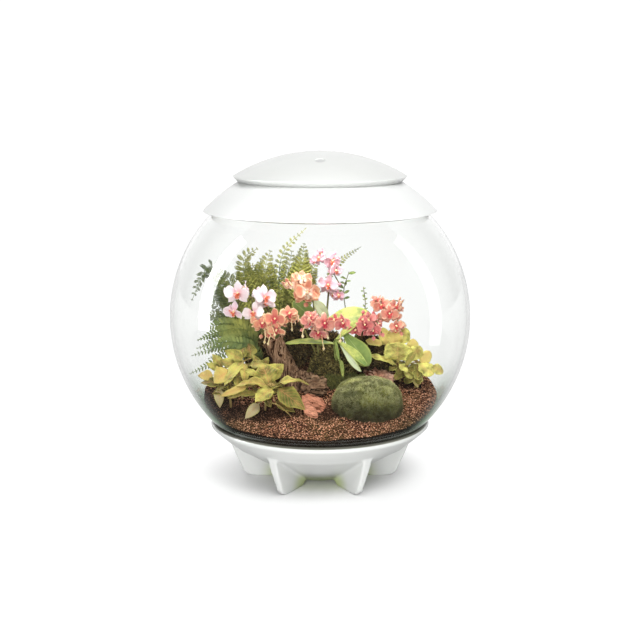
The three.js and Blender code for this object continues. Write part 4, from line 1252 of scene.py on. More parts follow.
# covers a body with tufts that lean every way
def addTufts(body, values, finish):
    tuft = helperPiece(body.name + "Tuft", tuftForm, tuftFaces)
    name = body.name + "Tufts"
    return scattered(body, name, tuft, values["tufts"], values["size"], 0.75, values["seed"], finish)


def makeMoss(name, values, relief, rough):
    finish = makeMossFinish(name + "Finish", values)
    square = values.get("square", 1.0)
    body = lumpPiece(name, values["at"], values["half"], finish, relief, rough, square=square)
    tufts = addTufts(body, values, finish)
    finishPiece(body, values["slot"], values["node"])
    finishPiece(tufts, values["slot"])


def makeUndergrowth():
    def relief(x, y, z):
        return 0.1 * math.sin(5 * x + 3 * y) * math.cos(4 * z) + 0.05 * math.sin(9 * y + 2 * x)

    def rough(point):
        return rumple(point, 0.1) * 4.0

    for name, values in undergrowth.items():
        finish = makeMossFinish(name + "Finish", values)
        lumps = [lumpPiece(name, lump[:3], lump[3:], finish, relief, rough, 32, 56)
                 for lump in values["lumps"]]
        body = joinPieces(name, lumps)
        for piece in (body, addTufts(body, values, finish)):
            keepInside(piece)
            finishPiece(piece, "dark_moss")


def makeMosses():
    def ballRelief(x, y, z):
        return 0.03 * math.sin(5 * x + 1) * math.cos(4 * y) - 0.05 * max(0, -z)

    def ballRough(point):
        return rumple(point, 0.09) * 1.6 + noise.noise(point * 0.7) * 0.5

    def moundRelief(x, y, z):
        return 0.07 * math.sin(4 * x + 2 * y) * math.cos(5 * z) + 0.04 * math.sin(9 * y)

    def moundRough(point):
        return rumple(point, 0.12) * 3.4

    makeMoss("mossBall", mossBall, ballRelief, ballRough)
    makeMoss("mossMound", mossMound, moundRelief, moundRough)
    makeUndergrowth()


# fibrous wood: pale ridges, dark cracks and small knots, drawn along one axis
def makeWoodFinish(name, values):
    material, tree, shader = newMaterial(name, 0.85, 0.12)
    place = objectPlace(tree)
    scale = values.get("scale", 420)
    grain = {"Place": place, "Stretch": values.get("stretch", (0.2, 1, 1))}
    broad = mottled(tree, place, 34.0, 0.2, values["middle"], values["light"])
    lines = useEffect(tree, fibres, {**grain, "Scale": scale, "Bend": 0.5})
    cracks = useEffect(tree, fibres, {**grain, "Scale": scale * 0.42, "Bend": 1.2})
    colour = mixed(tree, times(tree, lines["Mask"], 0.6), broad["Colour"], values["dark"])
    gap = ranged(tree, cracks["Height"], 0.38, 0.44, 1, 0)
    # darker towards the ground
    low = ranged(tree, partsOf(tree, place)["Z"], *values.get("lowDarkening", (0.0, 0.01)), 0.75, 0.0)
    lowDarkening = times(tree, low, ranged(tree, lines["Height"], 0.35, 0.6))
    colour = mixed(tree, lowDarkening, colour, values["dark"])
    setColour(tree, shader, mixed(tree, gap, colour, values["dark"]))
    setBump(tree, shader, mathValue(tree, "SUBTRACT", lines["Height"], gap), 0.9, 0.0018)
    return material


# stations of each limb: its centre and radius; a skin is sides, steps, ridge height and seed
driftwood = {
    "stump": [(-35, 2, 106, 18.5), (-38, 4, 130, 15.6), (-46, 7, 150, 13.6), (-57, 10, 170, 13.2),
              (-64, 12, 186, 14.5)],
    "root": [(-44, 2, 138, 9), (-30, -3, 139, 8.4), (-17, -8, 134, 6)],
    "snags": [[(-62, 8, 180, 4.5), (-68, 2, 188, 3), (-73, -2, 190, 1.2)],
              [(-58, 14, 182, 4.5), (-52, 16, 191, 3), (-47, 15, 196, 1.2)],
              [(-30, -4, 132, 5), (-22, -14, 130, 4), (-12, -18, 128, 1.6)],
              [(-34, -4, 142, 5), (-24, -8, 146, 4), (-14, -9, 143, 2)],
              [(-22, -6, 138, 5), (-14, -2, 141, 4.5), (-5, 1, 138, 2)]],
    "stumpSkin": (88, 26, 1.5, 3), "rootSkin": (48, 20, 1.1, 11), "snagSkin": (20, 10, 0.6),
    "light": (204, 162, 132), "middle": (146, 110, 86), "dark": (60, 38, 27),
    "stretch": (1, 1, 0.12), "scale": 520, "lowDarkening": (0.135, 0.165),
}


# a limb with ridges that run along it and a broken, uneven skin
def addLimb(shape, stations, sides, steps, ridge, seed):
    points = curveThrough([Vector(station[:3]) for station in stations], steps)
    last = len(points) - 1
    sizes = list(enumerate(station[3] for station in stations))
    radii = [valueAt(sizes, i / last * (len(stations) - 1)) for i in range(len(points))]
    rows = tubeRows(points, radii, sides)
    for i, row in enumerate(rows[1:-1]):
        for k, point in enumerate(row):
            out = (point - points[i]).normalized()
            lines = noise.noise(Vector((k / sides * 26 + seed, i * 0.035, seed)))
            row[k] = point + out * (lines * ridge + rumple(point, 0.09, seed) * ridge * 1.3)
    addGrid(shape, [[point * mm for point in row] for row in rows], wrap=True, flip=True)


def makeDriftwood():
    shape = newShape()
    addLimb(shape, driftwood["stump"], *driftwood["stumpSkin"])
    addLimb(shape, driftwood["root"], *driftwood["rootSkin"])
    for i, snag in enumerate(driftwood["snags"]):
        addLimb(shape, snag, *driftwood["snagSkin"], 20 + i)
    finish = makeWoodFinish("driftwoodFinish", driftwood)
    finishPiece(finishShape(shape, "driftwoodStump", [finish]), "driftwood", "driftwood")


barks = {
    "bark_front": {
        "at": (-5, -61, 111), "half": (25, 20, 3.4), "turn": (118, 36, 6), "seed": 2, "ragged": 0.4,
        "clumps": 0.9, "slot": "red_bark",
        "light": (228, 160, 132), "middle": (192, 120, 94), "dark": (100, 58, 42)},
    "bark_brown": {
        "at": (-7, -25, 131), "half": (16.5, 18.5, 5.8), "turn": (88, 58, -8), "seed": 7, "ragged": 0.7,
        "clumps": 2.0, "slot": "brown_bark",
        "light": (172, 136, 108), "middle": (98, 66, 50), "dark": (38, 25, 18)},
    "bark_back": {
        "at": (82, 17, 134), "half": (22.5, 13, 4.8), "turn": (8, -6, 33), "seed": 12, "ragged": 1.0,
        "clumps": 4.2, "slot": "pink_bark",
        "light": (252, 206, 184), "middle": (226, 164, 138), "dark": (96, 58, 44)},
}


# a flake of bark: a flat lump with plates that step down across it and a ragged edge
def makeBark(node, values):
    seed = values["seed"]

    def relief(x, y, z):
        waves = 0.12 * math.sin(7 * x + 3 * y) * math.cos(3 * z) + 0.05 * math.cos(11 * y)
        return waves * values["ragged"]

    def rough(point):
        near = Vector((point.x * 0.06, point.y * 0.22, seed))
        plates = math.floor(noise.noise(near) * 4) / 4
        return plates * 1.5 + rumple(point, 0.2, seed) * values["clumps"]

    finish = makeWoodFinish(node + "Finish", values)
    piece = lumpPiece(node + "Flake", (0, 0, 0), values["half"], finish, relief, rough, 56, 120)
    piece.data.transform(poseMatrix(Vector(values["at"]) * mm, *values["turn"]))
    finishPiece(piece, values["slot"], node)


# half a leaf's breadth at places along it, both as shares
leafOutlines = {
    "stalked": [(0, 0.07), (0.08, 0.08), (0.14, 0.42), (0.25, 0.86), (0.4, 1), (0.58, 0.88), (0.76, 0.6),
                (0.9, 0.28), (1, 0.03)],
    "round": [(0, 0.07), (0.12, 0.08), (0.18, 0.42), (0.3, 0.86), (0.5, 1), (0.7, 0.96), (0.86, 0.7),
              (0.96, 0.34), (1, 0.05)],
    "strap": [(0, 0.3), (0.2, 0.56), (0.5, 1), (0.75, 0.93), (0.9, 0.62), (0.97, 0.3), (1, 0.04)],
    "tiny": [(0, 0.1), (0.15, 0.6), (0.45, 1), (0.75, 0.75), (1, 0.04)],
}


# one leaf: it runs out along x, arches, folds up from its midrib, rounds over, twists, and waves along
# its edge
def addLeaf(shape, place, length, width, outline="stalked", fold=18, arch=30, wave=0.07, tint=0.5,
            phase=0.0, steps=16, across=8, cup=0.0, twist=0.0, toothed=0.0):
    rows = []
    x, z, last = 0.0, 0.0, 0.0
    turn = math.radians(fold)
    for i in range(steps + 1):
        s = i / steps
        lean = math.radians(arch * (0.5 - (s + last) / 2))
        x += length * (s - last) * math.cos(lean)
        z += length * (s - last) * math.sin(lean)
        last = s
        half = width / 2 * max(0.02, valueAt(leafOutlines[outline], s)) * (1 - toothed * (i % 2))
        spin = Matrix.Rotation(math.radians(twist * s), 3, "X")
        row = []
        for j in range(across + 1):
            t = 2 * j / across - 1
            side = 1.9 if t < 0 else 0
            waves = math.sin(9 * s + phase + side) + 0.5 * math.sin(21 * s - side)
            ripple = wave * half * 2 * t * t * waves
            quilt = 0.012 * width * math.cos(t * 3) * math.sin(s * 42 - abs(t) * 5)
            lift = abs(t) * half * math.sin(turn) - cup * half * t * t + ripple + quilt
            point = spin @ Vector((0, t * half * math.cos(turn), lift))
            row.append(place @ ((point + Vector((x, 0, z))) * mm))
        rows.append(row)
    addGrid(shape, rows, tint=tint, flip=True)


leafFoot = 12
# a leaf: [root, tip, width, where its face looks, tint, fold, arch]; tint 0 is dark, painted shade for
# leaves that lie in the cluster's shadow, 1 blushed and 1.5 pale
leafyStems = {
    "left_foliage_1": {
        "foot": (-72, -56), "crown": (-69, -60, 143), "leaves": [
            [(-65, -60, 141), (-75, -48, 165), 32, (0.1, -0.75, 0.65), 0.55, 10, 20],
            [(-58, -60, 142), (-18, -66, 144), 15, (0.1, -0.3, 1), 0.6, 20, 70],
            [(-57, -62, 140), (-24, -78, 118), 23, (0.3, -0.9, 0.35), 0.12, 6, 24],
            [(-61, -64, 139), (-80, -86, 129), 22, (-0.2, -0.75, 0.7), 0.6, 16, 22],
            [(-67, -62, 141), (-105, -66, 142), 15, (0, -0.35, 1), 0.75, 22, 66],
            [(-92, -64, 142), (-124, -72, 132), 11, (-0.2, -0.7, 0.7), 1.0, 12, 20],
            [(-78, -64, 134), (-113, -76, 130), 10, (0, -0.5, 0.9), 0.1, 26, 14],
            [(-78, -68, 121), (-94, -80, 106), 13, (0, -1, 0.1), 1.5, 10, 14],
            [(-59, -64, 123), (-36, -74, 112), 12, (0.3, -0.8, 0.5), 0.0, 14, 10],
            [(-81, -54, 154), (-96, -50, 159), 9, (0, -0.7, 0.7), 0.5, 16, 20],
            [(-70, -52, 150), (-51, -40, 163), 20, (0.2, -0.9, 0.5), 0.35, 10, 24]],
        "stalks": [[(-68, -66, 122), (-52, -74, 118), (-38, -80, 107)]]},
    "left_foliage_2": {
        "foot": (-118, -40), "crown": (-121, -45, 148), "leaves": [
            [(-101, -34, 168), (-121, -60, 146), 17, (-0.5, -0.8, 0.5), 0.6, 12, 30],
            [(-101, -36, 167), (-99, -56, 148), 14, (0.5, -0.9, 0.3), 0.7, 10, 24],
            [(-118, -40, 159), (-135, -58, 147), 24, (-0.1, -0.9, 0.5), 0.85, 10, 20],
            [(-139, -46, 152), (-158, -44, 151), 13, (-0.1, -0.9, 0.5), 1.0, 8, 16],
            [(-129, -50, 142), (-153, -48, 142), 13, (0, -0.7, 0.8), 0.0, 14, 40],
            [(-133, -50, 137), (-131, -58, 115), 12, (0.1, -1, 0.1), 1.4, 8, 10],
            [(-110, -48, 151), (-104, -64, 135), 11, (0.3, -0.8, 0.5), 0.15, 12, 16]]},
    "left_foliage_3": {
        "foot": (-104, -14), "crown": (-108, -16, 158), "leaves": [
            [(-102, -16, 164), (-124, -12, 176), 17, (0, -0.9, 0.5), 0.4, 10, 20],
            [(-92, -12, 167), (-96, -2, 183), 17, (0.1, -1, 0.3), 0.18, 8, 18],
            [(-107, -12, 165), (-103, -4, 179), 13, (-0.2, -0.9, 0.4), 0.22, 8, 18],
            [(-129, -22, 156), (-142, -16, 171), 12, (-0.2, -0.9, 0.4), 0.45, 8, 16],
            [(-130, -24, 154), (-149, -22, 161), 10, (-0.2, -0.9, 0.4), 0.5, 10, 20],
            [(-77, -20, 155), (-89, -14, 170), 9, (0, -0.9, 0.4), 0.6, 10, 16],
            [(-77, -18, 156), (-70, -12, 167), 9, (0.2, -0.9, 0.4), 0.55, 10, 16],
            [(-95, -22, 159), (-74, -24, 162), 12, (0, -0.7, 0.7), 0.62, 16, 30],
            [(-111, -26, 160), (-130, -26, 166), 14, (-0.1, -0.8, 0.6), 0.3, 10, 24]]},
    "right_foliage_1": {
        "foot": (111, 30), "crown": (106, 20, 168), "leaves": [
            [(92, 20, 175), (87, 26, 195), 13, (-0.2, -0.95, 0.3), 0.8, 6, 16],
            [(101, 18, 176), (102, 22, 195), 19, (0, -0.95, 0.3), 1.05, 6, 14],
            [(113, 22, 176), (116, 28, 195), 14, (0.3, -0.95, 0.3), 0.55, 6, 18],
            [(106, 12, 155), (105, 0, 180), 30, (0, -0.9, 0.5), 0.6, 8, 20],
            [(105, 12, 151), (76, 4, 164), 9, (0, -0.6, 0.8), 0.55, 16, 36],
            [(88, 18, 179), (68, 14, 184), 9, (0, -0.8, 0.6), 0.9, 10, 20],
            [(107, 10, 155), (116, 2, 147), 8, (0.1, -0.8, 0.6), 0.5, 10, 16]]},
    "right_foliage_2": {
        "foot": (132, 20), "crown": (135, 14, 155), "leaves": [
            [(125, 16, 162), (127, 20, 181), 14, (0.1, -0.95, 0.3), 1.0, 8, 16],
            [(124, 12, 158), (133, 8, 175), 16, (0.2, -0.9, 0.4), 0.65, 10, 18],
            [(137, 12, 152), (147, 12, 167), 13, (0.2, -0.95, 0.3), 0.95, 8, 16],
            [(132, 10, 155), (150, 4, 144), 16, (0.2, -0.8, 0.5), 0.6, 8, 20],
            [(150, 10, 151), (165, 8, 143), 11, (0.2, -0.8, 0.6), 0.7, 14, 46],
            [(115, 6, 151), (126, 2, 168), 9, (-0.3, -0.8, 0.5), 0.05, 16, 16],
            [(118, 14, 156), (122, 12, 169), 9, (-0.2, -0.9, 0.4), 0.4, 10, 16]]},
    "right_foliage_3": {
        "foot": (124, 44), "crown": (126, 40, 134), "leaves": [
            [(116, 20, 144), (124, 14, 135), 8, (0.1, -0.9, 0.4), 0.6, 8, 16],
            [(130, 22, 138), (139, 16, 130), 6, (0.1, -0.9, 0.4), 1.35, 8, 16],
            [(126, 20, 133), (133, 14, 123), 4, (0.1, -0.9, 0.4), 1.3, 8, 16],
            [(121, 24, 145), (132, 20, 146), 10, (0, -0.8, 0.6), 0.1, 10, 20],
            [(113, 22, 140), (105, 16, 133), 8, (-0.1, -0.8, 0.6), 0.05, 10, 20]]},
}
# extra: smaller leaves that fill the stem; fuller: how much larger the placed ones are than in the rows
foliageHabits = {
    "left": {
        "outline": "stalked", "extra": 14, "size": (15, 26), "spread": 0.62, "face": 20, "fuller": 1.16,
        "cup": 0.12, "arch": (14, 54), "slot": "left_leaf", "veinShare": 0.65, "heartShare": 0.3,
        "light": (196, 190, 98), "dark": (72, 76, 30), "blush": (200, 172, 98), "pale": (196, 182, 146),
        "vein": (200, 138, 90), "edge": (196, 182, 92)},
    "right": {
        "outline": "round", "extra": 12, "size": (12, 19), "spread": 0.8, "face": 24, "fuller": 1.3,
        "cup": 0.16, "arch": (14, 50), "slot": "right_leaf", "veinShare": 0.5,
        "light": (244, 238, 134), "dark": (108, 104, 46), "blush": (230, 204, 124), "pale": (238, 230, 172),
        "vein": (222, 176, 114), "edge": (238, 228, 130)},
}
leafVeins = {"Count": 9.0, "Slope": 5.0, "Width": 0.13, "Rib": 0.035}


# a leaf's skin: lighter and darker greens, its veins, a warmer edge, and quilting between the veins
def makeLeafFinish(name, values):
    material, tree, shader = newMaterial(name, values.get("roughness", 0.48))
    place = objectPlace(tree)
    tint = tintOf(tree)
    broad = mottled(tree, place, 70.0, 0.18, values["dark"], values["light"])
    # painted shade: low tints take the dark green, for leaves that lie in shadow under others
    whole = mixed(tree, ranged(tree, tint, 0.0, 0.4, 0.8, 0.0), broad["Colour"], values["dark"])
    blush = ranged(tree, tint, 0.55, 1.0, 0.0, 0.85)
    whole = mixed(tree, blush, whole, values.get("blush", values["light"]))
    whole = mixed(tree, ranged(tree, tint, 1.1, 1.5, 0.0, 0.9), whole, values.get("pale", values["light"]))
    lines = useEffect(tree, veins, {"Surface": surfacePlace(tree), **values.get("veins", leafVeins)})
    cloud = mottled(tree, place, 160.0, 0.14)
    centre = times(tree, ranged(tree, lines["Across"], 0.1, 0.75, 1, 0), cloud["Mask"])
    whole = mixed(tree, times(tree, centre, values.get("heartShare", 0.4)), whole, values["vein"])
    whole = mixed(tree, ranged(tree, lines["Across"], 0.72, 1.0, 0.0, 0.7), whole, values["edge"])
    drawn = times(tree, lines["Mask"], values.get("veinShare", 0.55))
    setColour(tree, shader, mixed(tree, drawn, whole, values["vein"]))
    skin = bumped(tree, mathValue(tree, "SUBTRACT", 1.0, lines["Mask"]), 0.5, 0.0006)
    setBump(tree, shader, grained(tree, place, 900.0)["Height"], 0.2, 0.0002, skin)
    return material


def makeStemFinish(name, light, dark):
    material, tree, shader = newMaterial(name, 0.6)
    skin = useEffect(tree, fibres, {"Place": objectPlace(tree), "Stretch": (1, 1, 0.2), "Scale": 700.0})
    setColour(tree, shader, mixed(tree, skin["Mask"], light, dark))
    setBump(tree, shader, skin["Height"], 0.4, 0.0004)
    return material


# a stem's first two stations: its foot in the soil, and a place just above it
def footStations(foot, above, low=None):
    x, y = foot
    bottom = soilHeight(x, y) - leafFoot if low is None else low
    return [(x, y, bottom), (x, y, bottom + leafFoot + above)]


def stemStations(foot, low, crown):
    bottom, above = footStations(foot, 0, low)
    middle = ((bottom[0] + crown[0]) / 2, (bottom[1] + crown[1]) / 2, (bottom[2] + crown[2]) / 2 + 4)
    return inMetres([bottom, above, middle, crown])


def addLeafAt(shape, root, heading, rise, roll, **leaf):
    turn = math.radians(heading)
    out = Vector((math.cos(turn), math.sin(turn), 0.3 * math.sin(math.radians(rise))))
    place = poseMatrix(root + out * 0.6 * mm, heading, rise, roll)
    addLeaf(shape, place, **leaf)


# x runs from a leaf's root to its tip, and z looks as near as it can to where its face looks
def facedPlace(root, tip, face):
    along = (Vector(tip) - Vector(root)).normalized()
    face = (Vector(face) - along * along.dot(Vector(face))).normalized()
    turn = Matrix((along, face.cross(along), face)).transposed().to_4x4()
    return Matrix.Translation(Vector(root) * mm) @ turn


# leaves with their own places, each on a thin stalk from the stem's crown
def addPlacedLeaves(shape, crown, leaves, outline, chance, fuller=1.0, stalk=0.7, **leaf):
    for root, tip, width, face, tint, fold, arch in leaves:
        length = (Vector(tip) - Vector(root)).length
        addLeaf(shape, facedPlace(root, tip, face), length * fuller, width * fuller, outline, fold, arch,
                tint=tint, phase=chance.uniform(0, 6), twist=chance.uniform(-14, 14), **leaf)
        start = Vector(root) * mm
        if (start - crown).length > 3 * mm:
            middle = crown.lerp(start, 0.5) + Vector((0, 0, 2 * mm))
            addTube(shape, [crown, middle, start], [stalk, stalk, stalk * 0.8], 6, 4, 1)


# a leafy stem: the leaves of its crown, and smaller ones that fill in below them
def makeLeafyStem(node, values, habit, materials):
    chance = random.Random(node)
    shape = newShape()
    stations = stemStations(values["foot"], None, values["crown"])
    addTube(shape, stations, [1.6, 1.5, 1.3, 1.5], 8, 6, 1)
    crown = stations[-1]
    addPlacedLeaves(shape, crown, values["leaves"], habit["outline"], chance, habit["fuller"], wave=0.12,
                    cup=habit["cup"], toothed=0.06, steps=22)
    for stalk in values.get("stalks", []):
        addTube(shape, inMetres(stalk), [0.8, 0.7, 0.5], 6, 4, 1)
    for k in range(habit["extra"]):
        addExtraLeaf(shape, stations[1], crown, 137.5 * k, habit, chance)
    piece = finishShape(shape, node + "Leaves", materials, 0.5 * mm)
    keepInside(piece, 2 * mm)
    finishPiece(piece, habit["slot"], node)


def addExtraLeaf(shape, foot, crown, turned, habit, chance):
    share = chance.uniform(0.4, 0.95)
    root = foot.lerp(crown, share)
    length = chance.uniform(*habit["size"])
    heading = turned + chance.uniform(-20, 20)
    # leaves at the back stand up and those in front hang, so that they turn their faces forward
    rise = 8 + 32 * math.sin(math.radians(heading)) + chance.uniform(-22, 22)
    roll = habit["face"] * math.cos(math.radians(heading)) + chance.uniform(-16, 16)
    # the lower ones are painted darkest, as painted shade under the crown
    addLeafAt(shape, root, heading, rise, roll, length=length,
              width=length * habit["spread"] * chance.uniform(0.8, 1.15), outline=habit["outline"],
              fold=chance.uniform(4, 34), arch=chance.uniform(*habit["arch"]) * 1.3, wave=0.13,
              tint=max(0, chance.uniform(-0.2, 0.6) - (1 - share)), phase=chance.uniform(0, 6),
              cup=habit["cup"], twist=chance.uniform(-34, 34), toothed=0.06, steps=20)


def makeFoliage():
    stem = makeStemFinish("foliageStem", (176, 150, 92), (118, 92, 54))
    for side, habit in foliageHabits.items():
        leaf = makeLeafFinish(side + "Leaf", habit)
        for node, values in leafyStems.items():
            if node.startswith(side):
                makeLeafyStem(node, values, habit, [leaf, stem])


orchidLeaves = {
    "orchid_leaves_1": {"foot": (2, 26), "low": 160, "crown": (0, 24, 204), "leaves": [
        [(-2, 22, 206), (-37, 8, 241), 22, (0.2, -0.95, 0.3), 0.05, 10, 34],
        [(12, 20, 210), (-8, 9, 242), 16, (0.3, -0.9, 0.3), 1.5, 24, 20],
        [(2, 24, 205), (72, 14, 221), 28, (0, -0.67, 0.74), 0.5, 8, 42]]},
    "orchid_leaves_2": {"foot": (22, 2), "low": 148, "crown": (21, -3, 188), "leaves": [
        [(22, -4, 190), (53, 0, 215), 12, (-0.5, -0.6, 0.65), 0.45, 26, 10],
        [(19, -3, 185), (-47, -6, 186), 23, (0, -0.1, 1), 0.4, 6, 16],
        [(21, -7, 190), (25, -14, 166), 4, (0, -1, 0.1), 0.1, 20, 20],
        [(34, -1, 197), (66, -11, 156), 27, (0.2, -0.9, 0.4), 0.0, 8, 22],
        [(24, -8, 190), (62, -24, 159), 13, (0.45, -0.85, 0.35), 0.42, 24, 16],
        [(28, -11, 185), (55, -27, 152), 10, (-0.5, -0.85, 0), 1.5, 16, 16],
        [(31, -6, 138), (29, -7, 163), 5, (0, -1, 0.1), 0.4, 20, 14]]},
}
orchidLeafFinish = {
    "light": (208, 208, 120), "dark": (116, 138, 76), "pale": (222, 228, 196), "blush": (208, 208, 120),
    "vein": (226, 226, 160), "edge": (186, 194, 104), "veinShare": 0.3, "heartShare": 0.0, "roughness": 0.36,
    "veins": {"Count": 1.0, "Slope": 0.0, "Width": 0.0, "Rib": 0.04},
}


def makeOrchidLeaves():
    leaf = makeLeafFinish("orchidLeaf", orchidLeafFinish)
    stem = makeStemFinish("orchidFoot", (150, 156, 86), (96, 104, 54))
    for node, values in orchidLeaves.items():
        chance = random.Random(node)
        shape = newShape()
        stations = stemStations(values["foot"], values["low"], values["crown"])
        addTube(shape, stations, [2, 2.2, 2.4, 3], 10, 6, 1)
        addPlacedLeaves(shape, stations[-1], values["leaves"], "strap", chance, 1.0, 1.2, wave=0.02,
                        steps=20, across=10)
        finishPiece(finishShape(shape, node + "Rosette", [leaf, stem], 0.9 * mm), "orchid_leaf", node)


# a frond: [its rib's foot and stations, leaflet width, pairs, bare share of the rib, where its face
# looks, copies behind it]
fronds = [
    [[(-50, 62), (-57, 58, 240), (-51, 62, 299), (-19, 72, 333)], 20, 20, 0.4, (0.2, -1, 0.3), 0],
    [[(-38, 78), (-29, 80, 250), (-26, 86, 282), (-22, 92, 309)], 42, 19, 0.45, (0, -1, 0.2), 2],
    [[(-26, 84), (6, 92, 250), (30, 96, 284), (58, 92, 304)], 14, 18, 0.6, (-0.3, -1, 0.3), 0],
    [[(-78, 62), (-98, 66, 240), (-106, 68, 290), (-86, 60, 306)], 40, 20, 0.35, (0.3, -1, 0.1), 3],
    [[(-66, 74), (-74, 84, 220), (-78, 92, 270), (-70, 98, 298)], 50, 20, 0.3, (0.1, -1, 0.2), 4],
    [[(-84, 54), (-104, 50, 210), (-122, 46, 256), (-138, 36, 282)], 44, 20, 0.35, (0.3, -1, 0.3), 4],
    [[(-56, 84), (-50, 100, 220), (-46, 108, 262), (-40, 110, 296)], 46, 20, 0.3, (0, -1, 0.2), 5],
    [[(-92, 46), (-112, 32, 196), (-130, 24, 222), (-152, 12, 244)], 36, 20, 0.3, (0.4, -1, 0.5), 3],
    [[(-90, 64), (-126, 62, 240), (-152, 46, 284), (-168, 18, 252)], 32, 18, 0.3, (0.5, -1, 0.5), 1],
    [[(-84, 40), (-96, 24, 196), (-128, 8, 210), (-160, -8, 205)], 24, 21, 0.45, (0.1, -1, 0.3), 5],
    [[(-76, 32), (-88, 4, 176), (-122, -14, 190), (-164, -28, 184)], 22, 21, 0.4, (0.1, -1, 0.3), 3],
]
# the fronds from narrowFrom on are low ones, with plain narrow leaflets
fernHabit = {
    "pinnaLeaflets": 11, "leafletSize": 0.32, "spread": 1.08, "droop": 0.2, "sway": 15, "narrowFrom": 9,
    "light": (198, 194, 100), "middle": (142, 144, 72), "dark": (74, 88, 46),
    "cool": (96, 112, 74), "coolShare": 0.8, "coolX": (-0.15, -0.09), "coolZ": (0.18, 0.225),
}
leafletForm = [(0, 0, 0), (4.4, 2.2, 0.8), (4.4, -2.2, 0.8), (10, 0, -0.5)]
leafletFaces = [(0, 2, 1), (3, 1, 2), (0, 1, 3), (0, 3, 2)]
narrowForm = [(0, 0, 0), (3, 2, 0.4), (3, 0, 0.1), (3, -2, 0.4), (7.4, 1.8, 0.3), (7.4, 0, 0),
              (7.4, -1.8, 0.3), (10.4, 0, -0.6)]
narrowFaces = [(0, 2, 1), (0, 3, 2), (1, 2, 5, 4), (2, 3, 6, 5), (4, 5, 7), (5, 6, 7)]


def makeFernFinish():
    material, tree, shader = newMaterial("fernLeaf", 0.55, 0.25)
    place = objectPlace(tree)
    colour = ramped(tree, tintOf(tree), fernHabit["dark"], fernHabit["middle"], fernHabit["light"], 0.5)
    clumps = mottled(tree, place, 26.0, 0.12)
    colour = mixed(tree, times(tree, clumps["Mask"], 0.5), colour, fernHabit["light"])
    # the fronds are a darker green low down and where they lean out to the left
    parts = partsOf(tree, place)
    outer = mathValue(tree, "MAXIMUM", ranged(tree, parts["X"], *fernHabit["coolX"], 1.0, 0.0),
                      ranged(tree, parts["Z"], *fernHabit["coolZ"], 1.0, 0.0))
    cool = times(tree, outer, fernHabit["coolShare"])
    setColour(tree, shader, mixed(tree, cool, colour, fernHabit["cool"]))
    setBump(tree, shader, grained(tree, place, 1200.0)["Height"], 0.2, 0.0003)
    return material


# the frond's rib: it stands in the soil and runs on through its stations to the tip
def frondRib(rib, shift):
    foot, *course = rib
    stations = [Vector(point) for point in footStations(foot, 14)]
    stations += [Vector(point) + shift * ((i + 1) / len(course)) for i, point in enumerate(course)]
    return curveThrough([station * mm for station in stations], 9)


# a leaflet's own form: small leaflets along a short rib
def makePinna(finish):
    leaflet = helperPiece("leaflet", leafletForm, leafletFaces, smooth=False)
    pinna = linePiece("pinna", inMetres([(0, 0, 0), (5, 0, 0.5), (10, 0, -0.6)]))
    runTree(pinna, ribTree, {
        "Leaflet": leaflet, "Pairs": fernHabit["pinnaLeaflets"], "Bare": 0.08,
        "Size": fernHabit["leafletSize"], "Spread": 0.98, "Droop": 0.05, "Rib Radius": 0.00022, "Seed": 2,
        "Material": finish})
    helpers.append(pinna)
    return pinna


# a frond, and the copies that hang behind it and fill it out
def makeFrond(k, leaflet, finish):
    rib, width, pairs, bare, face, more = fronds[k]
    chance = random.Random(40 + k)
    blades = []
    for copy in range(1 + more):
        sway = fernHabit["sway"] if copy else 0
        shift = Vector((chance.uniform(-1.4, 1.4) * sway, chance.uniform(-1, 1) * sway,
                        -abs(chance.uniform(0.6, 2.4)) * sway))
        blade = linePiece("blade", frondRib(rib, shift))
        smaller = chance.uniform(0.75, 1.0) if copy else 1.0
        blades.append(runTree(blade, ribTree, {
            "Leaflet": leaflet, "Pairs": pairs, "Bare": bare, "Size": width / 20 * smaller,
            "Spread": fernHabit["spread"], "Droop": fernHabit["droop"], "Face": face,
            "Rib Radius": 0.0009, "Seed": 10 * k + copy, "Material": finish}))
    piece = joinPieces("fernFrond%d" % (k + 1), blades)
    keepInside(piece, 1.5 * mm)
    finishPiece(piece, "fern_leaf", "fern_frond_%d" % (k + 1))


def makeFern():
    finish = makeFernFinish()
    pinna = makePinna(finish)
    narrow = helperPiece("narrowLeaflet", narrowForm, narrowFaces, smooth=False)
    for k in range(len(fronds)):
        makeFrond(k, pinna if k < fernHabit["narrowFrom"] else narrow, finish)


petalOutline = [(0, 0.14), (0.12, 0.42), (0.35, 0.86), (0.58, 1), (0.8, 0.88), (0.93, 0.58), (1, 0.1)]
sepalOutline = [(0, 0.3), (0.2, 0.7), (0.5, 1), (0.8, 0.74), (0.94, 0.36), (1, 0.06)]
lipOutline = [(0, 0.4), (0.3, 0.5), (0.55, 0.9), (0.75, 1), (0.92, 0.6), (1, 0.1)]
# heading, half breadth, and how far it lies forward: three sepals behind two broad petals
bloomLobes = [(90, 0.3, -1), (220, 0.29, -1), (320, 0.29, -1), (4, 0.49, 1), (176, 0.49, 1)]
# lobes of the lip: heading, root, reach, half breadth, curve, cup and how far it lies forward
lipLobes = [(-90, 0.05, 0.5, 0.17, -0.12, 0.5, 2.8), (-28, 0.04, 0.3, 0.13, 0.9, 0.7, 1.2),
            (-152, 0.04, 0.3, 0.13, 0.9, 0.7, 1.2)]


